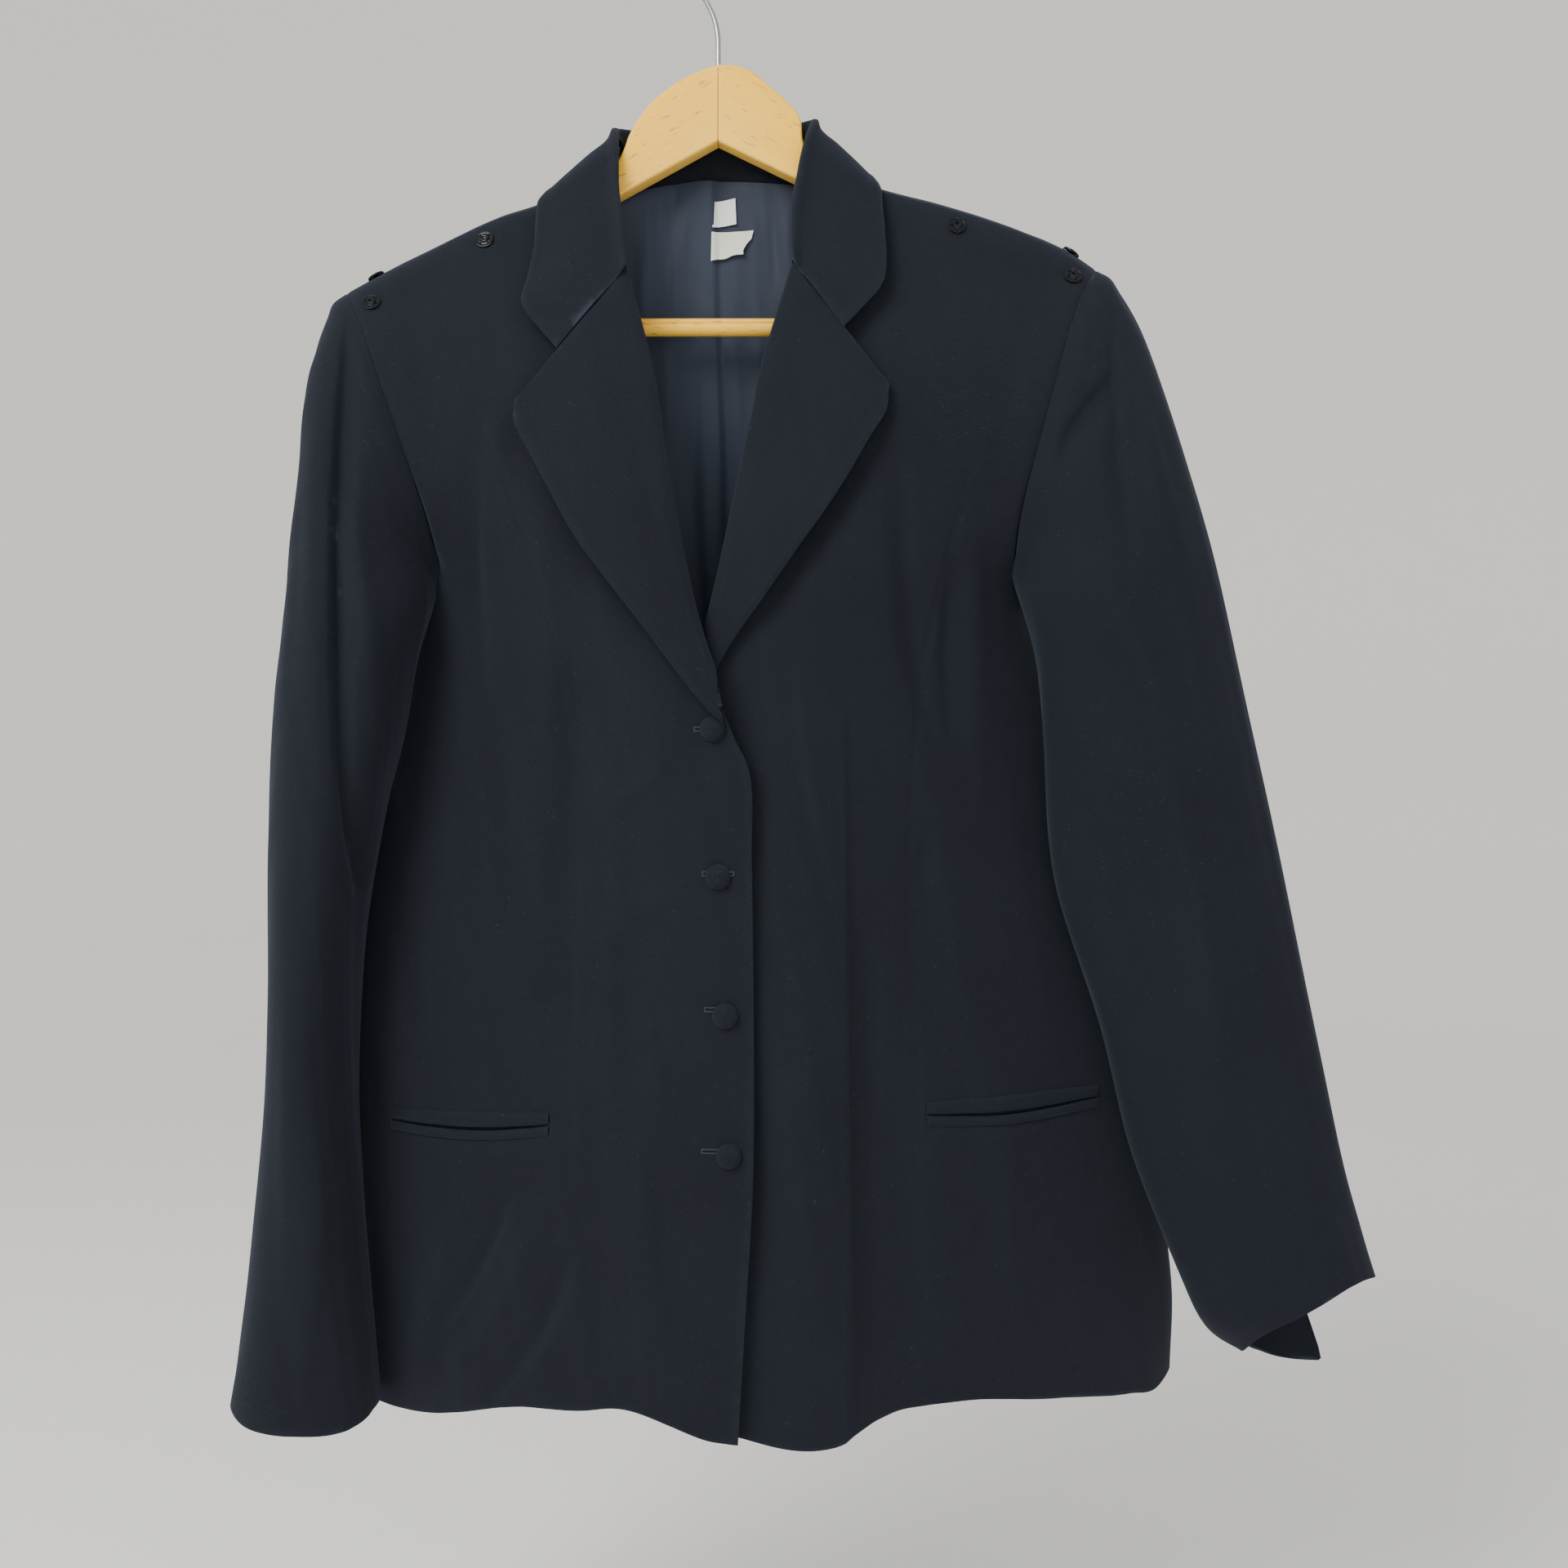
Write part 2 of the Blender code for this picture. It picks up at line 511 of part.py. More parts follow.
def back_half(side):
    """Outer points of half the back, from its side to the middle, hem to shoulder. The last rows
    go over the shoulder to its seam, and only the shoulder columns have them."""
    shoulder = shoulder_shares()
    neck = np.linspace(0, 1, BACK_ACROSS_NECK + 1)[1:]
    s = np.concatenate([shoulder * NECK_SHARE, NECK_SHARE + neck * (1 - NECK_SHARE)])[:, None]
    on_shoulder = np.clip(s / NECK_SHARE, 0, 1)
    past = np.clip((s - NECK_SHARE) / (1 - NECK_SHARE), 0, 1)
    over = len(RIDGE_PROFILE["y"]) - 1
    arc = np.concatenate([
        np.linspace(0, BACK_ARC_SHARE, BACK_ARMHOLE_UP + 1)[1:],
        np.linspace(BACK_ARC_SHARE, 1, over + 1)[1:]])
    shares = np.concatenate([
        np.linspace(0, UNDERARM_SHARE, SIDE_UP + 1),
        np.linspace(UNDERARM_SHARE, 1, BACK_ARMHOLE_UP + 1)[1:]])
    outer = panel_border(side, -1, arc)
    body = outer[:BACK_UP + 1]
    mx, my, mz = (read(BACK_MIDDLE, "share", name, shares) for name in ("x", "y", "z"))
    fullness = (1 - (1 - s) ** SIDE_TURN) ** (1 / SIDE_TURN)
    x = body[:, 0] + (mx - body[:, 0]) * s
    y = body[:, 1] + (my - body[:, 1]) * fullness
    z = body[:, 2] + (mz - body[:, 2]) * s
    hem_share = np.clip(1 - shares / HEM_FADE_SHARE, 0, 1) ** 2
    z = z + hem_share * (along(BACK_HEM["x"], BACK_HEM["z"], x) - z[:, :1])
    y = y + fold_heights(x, z, BACK_FOLDS) * np.clip(s * FOLD_FADE, 0, 1)
    lower = np.stack([x, y, z], axis=-1)
    top = shoulder_row(side, 0, body[-1], on_shoulder[:, 0])
    middle = np.array([mx[-1], my[-1], mz[-1]])
    rise = np.stack([past[:, 0], *[np.sin(past[:, 0] * math.pi / 2)] * 2], axis=-1)
    top = top + (middle - top[-1]) * rise
    near_top = np.clip((shares - SHOULDER_FADE) / (1 - SHOULDER_FADE), 0, 1) ** 2
    lower = lower + near_top[:, None] * (top - lower[:, -1])[:, None]
    rows = []
    for k in range(1, over + 1):
        row = shoulder_row(side, k, outer[BACK_UP + k], on_shoulder[:, 0])
        onward = lower[:, -1] + k * (lower[:, -1] - lower[:, -2])
        rows.append(np.where(past > 0, onward, row))
    return np.concatenate([lower, np.stack(rows, axis=1)], axis=1)


def back_surface():
    """Outer points of the whole back, from the right side seam to the left one."""
    right, left = back_half("right"), back_half("left")
    return np.concatenate([right, left[-2::-1]], axis=0)


def build_back(points, finish):
    nu, nv = points.shape[:2]
    cells = np.ones((nu - 1, nv - 1), bool)
    cells[BACK_ACROSS_SHOULDER:nu - 1 - BACK_ACROSS_SHOULDER, BACK_UP:] = False
    facing = [
        (np.s_[:BACK_ACROSS_SHOULDER + 1, -1], SHOULDER_FACING),
        (np.s_[-BACK_ACROSS_SHOULDER - 1:, -1], SHOULDER_FACING)]
    square = []
    for column, side in ((0, "right"), (-1, "left")):
        more_facing, more_square = panel_borders(side, column, nv)
        facing += more_facing
        square += more_square
    return cloth(
        "back", points, CLOTH_WALL, finish, cells=cells, facing=facing, square=square, inward=-1)


def build_sleeve(side, finish):
    angles = np.linspace(0, 2 * math.pi, SLEEVE_ROUND, endpoint=False)
    stations = np.linspace(0, len(SLEEVE[side]["outer_x"]) - 1, SLEEVE_ALONG + 1)
    rings = np.stack([sleeve_ring(side, station, angles) for station in stations], axis=1)
    middle = rings.mean(axis=0, keepdims=True)
    facing = np.clip(np.sin(angles), 0, 1)[:, None]
    raised = fold_heights(rings[..., 0], rings[..., 2], SLEEVE_FOLDS[side]) * facing
    raised[:, 0] = 0
    rings = rings + unit(rings - middle) * raised[..., None]
    rings[:, 0] += armhole_across(side) * SEAM_GAP / 2
    square = [(np.s_[:, 0], armhole_across(side))]
    return cloth(
        f"sleeve_{side}", rings, CLOTH_WALL, finish, closed=True, square=square, inward=SIGN[side])


def build_lapel(side, finish):
    """A lapel: it turns round the front's free edge at the roll line and lies back on the front."""
    rows = LAPEL[side]
    at = np.linspace(0, len(rows["roll_x"]) - 1, LAPEL_UP + 1)
    row = {name: along(np.arange(len(rows[name])), rows[name], at) for name in LAPEL_COLUMNS.split()}
    roll = np.stack([row["roll_x"], -row["roll_depth"], row["roll_z"]], axis=-1)
    edge = np.stack([row["edge_x"], -row["edge_depth"], row["edge_z"]], axis=-1)
    width = np.linalg.norm(edge - roll, axis=-1, keepdims=True)
    out = (edge - roll) / width
    back = np.array([0.0, 1.0, 0.0])
    radius = np.minimum(ROLL_RADIUS, ROLL_SHARE * width)
    columns = []
    for behind, outward in zip(LAPEL_ROLL["behind"], LAPEL_ROLL["out"]):
        columns.append(roll + (back * behind + out * outward) * radius)
    for share in LAPEL_SHARES:
        lift = LAPEL_LIFT * math.sin(math.pi * share)
        columns.append(roll + (edge - roll) * share - back * lift * np.minimum(1, width / LAPEL_FULL))
    points = np.stack(columns, axis=0)
    return cloth(f"lapel_{side}", points, CLOTH_WALL, finish, inward=SIGN[side])


def build_collar(finish):
    """The collar: the leaf outside, the fold, and the stand inside, from gorge to gorge."""
    right = {name: COLLAR["right"][name] for name in COLLAR_COLUMNS.split()}
    ribs = {name: np.concatenate([right[name], COLLAR["left"][name][-2::-1]]) for name in right}
    leaf, fold, foot = (
        np.stack([ribs[f"{part}_{axis}"] for axis in "xyz"], axis=-1) for part in ("leaf", "fold", "foot"))
    path = unit(np.gradient(fold, axis=0))
    down = unit(leaf - fold)
    out = unit(np.cross(path, down))
    columns = []
    for share in LEAF_SHARES:
        columns.append(leaf + (fold - leaf) * share + out * LEAF_FULLNESS * math.sin(math.pi * share))
    columns.append(fold + down * FOLD_FRONT_DOWN + out * ROLL_RADIUS * FOLD_FRONT_OUT)
    columns.append(fold)
    columns.append(fold + down * FOLD_BACK_DOWN - out * ROLL_RADIUS)
    columns.append((columns[-1] + foot) / 2)
    columns.append(foot)
    points = np.stack(columns, axis=0)
    return cloth("collar", points, CLOTH_WALL, finish, inward=1)


def on_surface(tree, start, direction):
    """Where a line from a point meets a piece, and the way its face looks."""
    place, normal, _, _ = tree.ray_cast(Vector(start) * MM, Vector(direction))
    if normal.dot(Vector(direction)) > 0:
        normal = -normal
    return np.array(place) / MM, np.array(normal)


def tree_of(made):
    mesh = bmesh.new()
    mesh.from_mesh(made.data)
    tree = BVHTree.FromBMesh(mesh)
    mesh.free()
    return tree


def build_lining(back, tree, finish):
    """The lining of the back: its own points, each laid against the inside of the back, from the
    neck and the foot of the shoulders to just above the hem."""
    grid = []
    for i in range(LINING_MARGIN, back.shape[0] - LINING_MARGIN):
        column = []
        for j in range(1, BACK_UP + 1):
            place, _ = on_surface(tree, (back[i, j, 0], 0, back[i, j, 2] - LINING_DROP), BACKWARDS)
            column.append(place - np.array([0, LINING_WALL + LINING_STANDOFF, 0]))
        grid.append(column)
    return cloth("back_lining", np.array(grid), LINING_WALL, finish)


def strip_on(name, tree, top, foot, wall, standoff, finish, across=9, up=3):
    """A thin piece that lies on a panel seen from the front, between two lines of points."""
    grid = []
    for i in range(across + 1):
        upper = np.array(top(i / across))
        lower = np.array(foot(i / across))
        column = []
        for j in range(up):
            x, z = upper + (lower - upper) * j / (up - 1)
            place, normal = on_surface(tree, (x, -SEEN_FROM, z), BACKWARDS)
            column.append(place + normal * standoff)
        grid.append(column)
    return cloth(name, np.array(grid), wall, finish, inward=1)


def build_pocket(side, tree, finish):
    """Two jets, folded strips above and below the mouth, which dips and gapes in its middle."""
    start, end = (np.array(p, float) for p in POCKET[side])
    if side == "left":
        start, end = end, start

    def mouth(share, shift, dip):
        x, z = start + (end - start) * share
        return x, z + shift - dip * math.sin(math.pi * share)

    for which, direction in (("upper", 1), ("lower", -1)):
        near = direction * MOUTH_HALF_GAP
        far = near + direction * JET_HEIGHT[which]
        dip = MOUTH_DIP[which]
        lines = [lambda t: mouth(t, far, dip), lambda t: mouth(t, near, dip)]
        if which == "lower":
            lines.reverse()
        name = f"pocket_{side}_{which}_jet"
        strip_on(name, tree, lines[0], lines[1], JET_WALL, JET_STANDOFF, finish)


def turned(name, profile, place, facing, finish, steps=20):
    """A round piece: a profile of radius and height turned about the way it faces."""
    axis = unit(np.asarray(facing, float))
    helper = np.array([1.0, 0.0, 0.0]) if abs(axis[0]) < 0.9 else np.array([0.0, 1.0, 0.0])
    first = unit(np.cross(axis, helper))
    second = np.cross(axis, first)
    vertices, faces = [], []
    rings = [pair for pair in profile if pair[0] > 0]
    for radius, height in rings:
        for k in range(steps):
            turn = 2 * math.pi * k / steps
            outward = first * math.cos(turn) + second * math.sin(turn)
            vertices.append(place + axis * height + outward * radius)
    for ring in range(len(rings) - 1):
        for k in range(steps):
            a, b = ring * steps + k, ring * steps + (k + 1) % steps
            faces.append([a, b, b + steps, a + steps])
    faces.append(list(range(steps))[::-1])
    faces.append([(len(rings) - 1) * steps + k for k in range(steps)])
    return add_object(name, vertices, faces, finish)


def build_buttons(tree, finish):
    """Four domed buttons covered in the jacket's cloth."""
    dome = [(BUTTON_RADIUS * BUTTON_FOOT, 0), (BUTTON_RADIUS, BUTTON_EDGE)]
    for degrees in (25, 50, 72):
        rise = math.radians(degrees)
        height = BUTTON_EDGE + (BUTTON_HEIGHT - BUTTON_EDGE) * math.sin(rise)
        dome.append((BUTTON_RADIUS * math.cos(rise), height))
    for i, (x, z) in enumerate(BUTTON_AT):
        place, normal = on_surface(tree, (x, -SEEN_FROM, z), BACKWARDS)
        turned(f"button_{i + 1}", dome, place + normal * BUTTON_STANDOFF, normal, finish)


def build_studs(trees, finish):
    """Sew-on press studs on the shoulders: a flat ring of a disc round a raised middle."""
    profile = [(row[0] * STUD_RADIUS, row[1] * STUD_HEIGHT) for row in STUD_PROFILE]
    for name, (x, z) in STUD_FRONT_AT.items():
        side = name.split("_")[0]
        place, normal = on_surface(trees[f"front_{side}"], (x, -SEEN_FROM, z), BACKWARDS)
        turned(f"press_stud_{name}", profile, place + normal * STUD_STANDOFF, normal, finish, 16)
    for name, (x, y) in STUD_TOP_AT.items():
        place, normal = on_surface(trees["back"], (x, y, 0), DOWNWARDS)
        turned(f"press_stud_{name}", profile, place + normal * STUD_TOP_STANDOFF, normal, finish, 16)


def build_labels(tree, finish):
    for name, size in LABEL.items():
        start, end = np.array(size["from"], float), np.array(size["to"], float)

        def top(share):
            return start + (end - start) * share

        def foot(share):
            x, z = start + (end - start) * share
            return x - size["cut"] * share * CUT_SLANT, z - size["height"] + size["cut"] * share

        strip_on(f"label_{name}", tree, top, foot, LABEL_WALL, LABEL_STANDOFF, finish, across=4)


def loft(name, rings, finish):
    """A closed body through rings of equally many points, with flat ends."""
    count = len(rings[0])
    vertices = [point for ring in rings for point in ring]
    faces = [list(range(count))[::-1], [(len(rings) - 1) * count + k for k in range(count)]]
    for i in range(len(rings) - 1):
        for k in range(count):
            a, b = i * count + k, i * count + (k + 1) % count
            faces.append([a, b, b + count, a + count])
    return add_object(name, vertices, faces, finish)


def build_arm(side, finish):
    """A hanger arm: rounded sections from the mitre in the head to the tip."""
    rows = ARM_TOP[side]
    rings = []
    for x, top in zip(rows["x"], rows["z"]):
        foot = ARM_FOOT_AT_MITRE - abs(x - MITRE_X) * ARM_SLOPE[side]
        half, r = WOOD_THICKNESS / 2, WOOD_ROUNDING
        corners = ((1, top - r, 0), (-1, top - r, 90), (-1, foot + r, 180), (1, foot + r, 270))
        ring = []
        for way, z, start in corners:
            y = way * (half - r)
            for step in (0, 45, 90):
                angle = math.radians(start + step)
                ring.append((x, y + r * math.cos(angle), z + r * math.sin(angle)))
        rings.append(ring if side == "left" else ring[::-1])
    return loft(f"hanger_arm_{side}", rings, finish)


def build_bar(finish):
    """The trouser bar: a round rod that ends against the arms' lower edges, near their tips."""
    ends = {}
    for side in SIDES:
        run = (ARM_FOOT_AT_MITRE - (BAR_HEIGHT + BAR_RADIUS)) / ARM_SLOPE[side]
        ends[side] = MITRE_X + SIGN[side] * (run - 2 * SEAM_GAP)
    rings = []
    for x in (ends["right"], ends["left"]):
        ring = []
        for turn in np.linspace(0, 2 * math.pi, ROD_STEPS, endpoint=False):
            ring.append((x, BAR_RADIUS * math.cos(turn), BAR_HEIGHT + BAR_RADIUS * math.sin(turn)))
        rings.append(ring)
    return loft("trouser_bar", rings, finish)


def build_hook(finish):
    """The hook: a bent wire whose crook holds the rail at the origin."""
    middle_z = WIRE_RADIUS - CROOK_RADIUS
    line = list(zip(HOOK_SHANK["x"], HOOK_SHANK["z"]))
    for degrees in np.linspace(CROOK_START, CROOK_END, CROOK_STEPS):
        turn = math.radians(degrees)
        line.append((CROOK_RADIUS * math.cos(turn), middle_z + CROOK_RADIUS * math.sin(turn)))
    line = np.array(line, float)
    ahead = unit(np.gradient(line, axis=0))
    rings = []
    for (x, z), (dx, dz) in zip(line, ahead):
        across = np.array([dz, 0, -dx])
        ring = []
        for turn in np.linspace(0, 2 * math.pi, WIRE_STEPS, endpoint=False):
            outward = across * math.cos(turn) + np.array([0, 1, 0]) * math.sin(turn)
            ring.append(np.array([x, 0, z]) + outward * WIRE_RADIUS)
        rings.append(ring)
    return loft("hook", rings, finish)


def main():
    for old in list(bpy.data.objects):
        bpy.data.objects.remove(old)
    navy = material("navy_cloth", (0.018, 0.022, 0.032), 0.85)
    satin = material("slate_lining", (0.032, 0.045, 0.062), 0.5)
    white = material("white_tape", (0.72, 0.74, 0.70), 0.8)
    black = material("black_metal", (0.02, 0.02, 0.024), 0.35, 0.8)
    wood = material("honey_wood", (0.85, 0.55, 0.22), 0.4)
    steel = material("steel_wire", (0.55, 0.56, 0.58), 0.3, 1.0)

    fronts = {side: build_front(side, navy) for side in SIDES}
    back_points = back_surface()
    back = build_back(back_points, navy)
    for side in SIDES:
        build_sleeve(side, navy)
        build_lapel(side, navy)
    build_collar(navy)
    trees = {f"front_{side}": tree_of(fronts[side]) for side in SIDES}
    trees["back"] = tree_of(back)
    lining = build_lining(back_points, trees["back"], satin)
    for side in SIDES:
        build_pocket(side, trees[f"front_{side}"], navy)
    build_buttons(trees["front_right"], navy)
    build_studs(trees, black)
    build_labels(tree_of(lining), white)
    for side in SIDES:
        build_arm(side, wood)
    build_bar(wood)
    build_hook(steel)


main()
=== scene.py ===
# %% [markdown]
# # A uniform jacket on a wooden coat hanger
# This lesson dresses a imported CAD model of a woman's navy uniform jacket. The CAD solids give the
# true shape of each panel; here every cloth piece is made again as a thin, finely divided sheet on
# the same form, with its folds, seams and stitching, and then gets a cloth, satin, wood or metal
# finish. The front faces -Y, and right and left are the wearer's.

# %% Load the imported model
import json
import math

import bmesh
import bpy
import numpy as np
from mathutils import Matrix, Vector
from mathutils.bvhtree import BVHTree

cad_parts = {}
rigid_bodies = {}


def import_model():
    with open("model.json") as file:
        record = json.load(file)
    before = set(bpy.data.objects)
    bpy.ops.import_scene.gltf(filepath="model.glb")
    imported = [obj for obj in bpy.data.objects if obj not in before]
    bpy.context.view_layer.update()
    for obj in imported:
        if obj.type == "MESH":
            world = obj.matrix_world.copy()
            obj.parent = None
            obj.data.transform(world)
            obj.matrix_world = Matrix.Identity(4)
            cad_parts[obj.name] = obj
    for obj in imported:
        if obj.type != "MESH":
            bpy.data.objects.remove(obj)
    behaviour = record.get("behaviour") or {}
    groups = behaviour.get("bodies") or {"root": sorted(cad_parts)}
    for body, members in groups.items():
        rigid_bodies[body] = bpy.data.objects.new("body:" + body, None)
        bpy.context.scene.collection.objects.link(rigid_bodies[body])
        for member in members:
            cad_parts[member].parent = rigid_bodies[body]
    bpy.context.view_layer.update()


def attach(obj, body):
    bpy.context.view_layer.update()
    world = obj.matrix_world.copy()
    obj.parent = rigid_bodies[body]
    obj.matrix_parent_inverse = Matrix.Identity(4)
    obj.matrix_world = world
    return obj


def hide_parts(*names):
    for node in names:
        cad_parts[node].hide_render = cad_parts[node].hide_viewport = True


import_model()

bpy.ops.object.select_all(action="DESELECT")

# %% [markdown]
# ## The studio
# The photograph was taken about a metre in front of the hanger, level, from the height of the
# buttons. A pale floor runs out into a far pale wall all round, so the jacket can be
# seen from every side. One large soft light hangs at the upper
# left, a weaker one stands low in front, and the sky fills the rest.

# %% Camera, floor and wall
CAMERA_PLACE = (0.031, -1.0, -0.469)
VIEW_ANGLE = math.radians(47.64)

bpy.ops.object.camera_add(location=CAMERA_PLACE, rotation=(math.pi / 2, 0, 0))
camera = bpy.context.object
camera.name = "photo_camera"
camera.data.angle = VIEW_ANGLE
camera.data.clip_end = 60
bpy.context.scene.camera = camera

FLOOR_HEIGHT, FLOOR_RADIUS = -1.05, 2.4
# How much wider and higher each ring of the room is than the one before it: a cove, then the wall
ROOM_RINGS = ((1.25, 0.03), (1.22, 0.16), (1.13, 0.45), (1.06, 0.9), (1.0, 3.4))

bpy.ops.mesh.primitive_circle_add(
    vertices=96, radius=FLOOR_RADIUS, fill_type="NGON", location=(0, 0, FLOOR_HEIGHT))
room = bpy.context.object
room.name = "pale_room"
bpy.ops.object.mode_set(mode="EDIT")
for wider, higher in ROOM_RINGS:
    bpy.ops.mesh.select_mode(type="EDGE")
    bpy.ops.mesh.select_all(action="DESELECT")
    bpy.ops.mesh.select_non_manifold(extend=False)
    bpy.ops.mesh.extrude_edges_move(TRANSFORM_OT_translate={"value": (0, 0, higher)})
    bpy.ops.transform.resize(value=(wider, wider, 1), center_override=(0, 0, 0))
bpy.ops.object.mode_set(mode="OBJECT")
bpy.ops.object.shade_smooth()
print("room has", len(room.data.polygons), "faces, floor at", FLOOR_HEIGHT)


def pale_paint(name, colour, roughness):
    made = bpy.data.materials.new(name)
    made.use_nodes = True
    shader = made.node_tree.nodes["Principled BSDF"]
    shader.inputs["Base Color"].default_value = (*colour, 1)
    shader.inputs["Roughness"].default_value = roughness
    return made


room.data.materials.append(pale_paint("pale_wall", (0.91, 0.895, 0.855), 0.9))

# %% Lights
LIGHTS = {
    "key": {"place": (-1.15, -1.65, 0.95), "size": 1.3, "power": 63, "colour": (1.0, 0.985, 0.955)},
    "fill": {"place": (0.3, -2.0, -0.45), "size": 1.3, "power": 12, "colour": (0.92, 0.96, 1.0)},
}
AIM = Vector((0.03, 0, -0.45))
for name, light in LIGHTS.items():
    bpy.ops.object.light_add(type="AREA", location=light["place"])
    lamp = bpy.context.object
    lamp.name = f"{name}_light"
    lamp.data.shape = "DISK"
    lamp.data.size = light["size"]
    lamp.data.energy = light["power"]
    lamp.data.color = light["colour"]
    lamp.rotation_euler = (AIM - lamp.location).to_track_quat("-Z", "Y").to_euler()

world = bpy.data.worlds.new("soft_sky")
bpy.context.scene.world = world
world.use_nodes = True
world.node_tree.nodes["Background"].inputs["Color"].default_value = (0.95, 0.97, 1.0, 1)
world.node_tree.nodes["Background"].inputs["Strength"].default_value = 0.93
print("lights:", ", ".join(LIGHTS))

# %% [markdown]
# ## The pattern of the jacket
# The sheets are drawn on the same sections as the CAD solids, so each one lies on its solid. The
# tables are in millimetres: each row is a place on the jacket, and depth is how far it lies in
# front of the hanger. A smooth curve through the rows gives every point between them.

# %% Curves and tables
MM = 0.001
SIDES = ("right", "left")
SIGN = {"right": -1, "left": 1}


def table(columns, rows):
    """A short table as one array for each named column."""
    return dict(zip(columns.split(), np.array(rows, float).T))


def along(keys, values, at):
    """The smooth curve through values at rising keys, read at the places given."""
    keys, values, at = np.asarray(keys, float), np.asarray(values, float), np.asarray(at, float)
    slopes = np.gradient(values, keys, axis=0)
    i = np.clip(np.searchsorted(keys, at, side="right") - 1, 0, len(keys) - 2)
    more = at.shape + (1,) * (values.ndim - 1)
    step = (keys[i + 1] - keys[i]).reshape(more)
    t = np.clip((at - keys[i]).reshape(more) / step, 0, 1)
    near = (1 + 2 * t) * (1 - t) ** 2 * values[i] + t**2 * (3 - 2 * t) * values[i + 1]
    return near + step * t * (1 - t) * ((1 - t) * slopes[i] - t * slopes[i + 1])


def read(rows, key, name, at):
    return along(rows[key], rows[name], at)


def unit(vectors):
    return vectors / np.linalg.norm(vectors, axis=-1, keepdims=True)


def bell(distance, width):
    """A smooth bump: 1 in its middle, a third at its width."""
    return np.exp(-((distance / width) ** 2))


def fade(distance, reach):
    """From 0 at an edge to 1 at its reach."""
    return np.clip(distance / reach, 0, 1)


def arc_lengths(points, axis, closed=False):
    """Distance along the grid from its first point, for each line of it."""
    if closed:
        points = np.concatenate([points, points[:1]])
    steps = np.linalg.norm(np.diff(points, axis=axis), axis=-1)
    start = np.zeros_like(np.take(steps, [0], axis=axis))
    return np.concatenate([start, np.cumsum(steps, axis=axis)], axis=axis)


print("a curve through 0, 1, 4 reads", along([0, 1, 2], [0, 1, 4], [1.5]), "halfway to 4")

# The ridge of the shoulders, where the cloth lies over the hanger
RIDGE = {
    "right": table("x z", [
        (-215, -194), (-198, -184.5), (-167, -169), (-129, -151), (-105, -143), (-89, -135), (-69, -124)]),
    "left": table("x z", [
        (49, -118), (62, -127), (82, -134), (123, -145), (165, -159), (192, -171), (207, -181)]),
}
# Across the ridge, from the shoulder seam over the top and down the back
RIDGE_PROFILE = table("y drop", [(14, 12), (9.5, 3.2), (0, -0.8), (-9.2, 3.2)])

# Each row is a ring of the sleeve, from the armhole to the cuff: its far and near points seen
# from the front, its middle and half depth, and how far its front and back bow up the sleeve
SLEEVE_COLUMNS = "outer_x outer_z inner_x inner_z middle_y half_depth front_bow back_bow"
SLEEVE = {
    "right": table(SLEEVE_COLUMNS, [
        (-215, -194, -163, -343, 0, 30, 5, 5),
        (-223, -204, -166, -349, 0, 34, 3, 3),
        (-230, -224, -168, -356, -1, 37, 2, 2),
        (-235, -255, -169, -366, -4, 40, 0, 0),
        (-237, -305, -171, -382, -10, 42, 0, 0),
        (-241, -360, -174, -402, -15, 43, 0, 0),
        (-247, -419, -180, -440, -20, 44, 0, 0),
        (-249.5, -490, -191, -490, -22, 44, 0, 0),
        (-249.5, -560, -202, -560, -23, 43, 0, 0),
        (-252, -640, -205, -640, -23, 41, 0, 0),
        (-259, -715, -200, -712, -24, 37, 0, 0),
        (-266, -771, -195, -771, -25, 35, -4, 0),
        (-270, -803, -191, -808, -27, 33, -9, 0)]),
    "left": table(SLEEVE_COLUMNS, [
        (207, -181, 161, -351, 0, 30, 9, 5),
        (218, -192, 164, -357, -1, 34, 6, 3.5),
        (229, -212, 166.5, -364, -2, 36, 4, 3),
        (240, -243, 168.5, -373, -6, 35, 1, 1),
        (254, -290, 170.5, -388, -11, 33, 0, 0),
        (269, -346, 172.5, -410, -15, 30, 0, 0),
        (286.5, -428, 175, -450, -19, 27, 0, 0),
        (305.5, -519, 180, -522, -23, 25, 0, 0),
        (324.5, -615, 205, -603, -25, 24, 0, 0),
        (336.5, -674, 222, -672, -26, 24, 0, 0),
        (346.5, -711, 247, -736, -26, 25, 2, -5),
        (350.5, -725, 262, -766, -26, 25.5, 5, -22),
        (354.5, -738, 281, -779, -26, 26, 9.5, -39)]),
}

# Side seams from the hem to the underarm
SIDE_SEAM = {
    "right": table("z x y", [
        (-813, -213, 22), (-700, -216, 23), (-628, -219, 24), (-555, -215, 24), (-518, -210, 25),
        (-477, -202, 26), (-442, -193, 27), (-397, -182, 26), (-368, -172, 19), (-343, -163, 0)]),
    "left": table("z x y", [
        (-809, 253, 22), (-765, 254, 22), (-732, 251, 22), (-650, 237, 22), (-600, 227, 22),
        (-550, 216, 23), (-500, 204, 24), (-450, 192, 25), (-400, 180, 24), (-372, 170, 18),
        (-351, 161, 0)]),
}

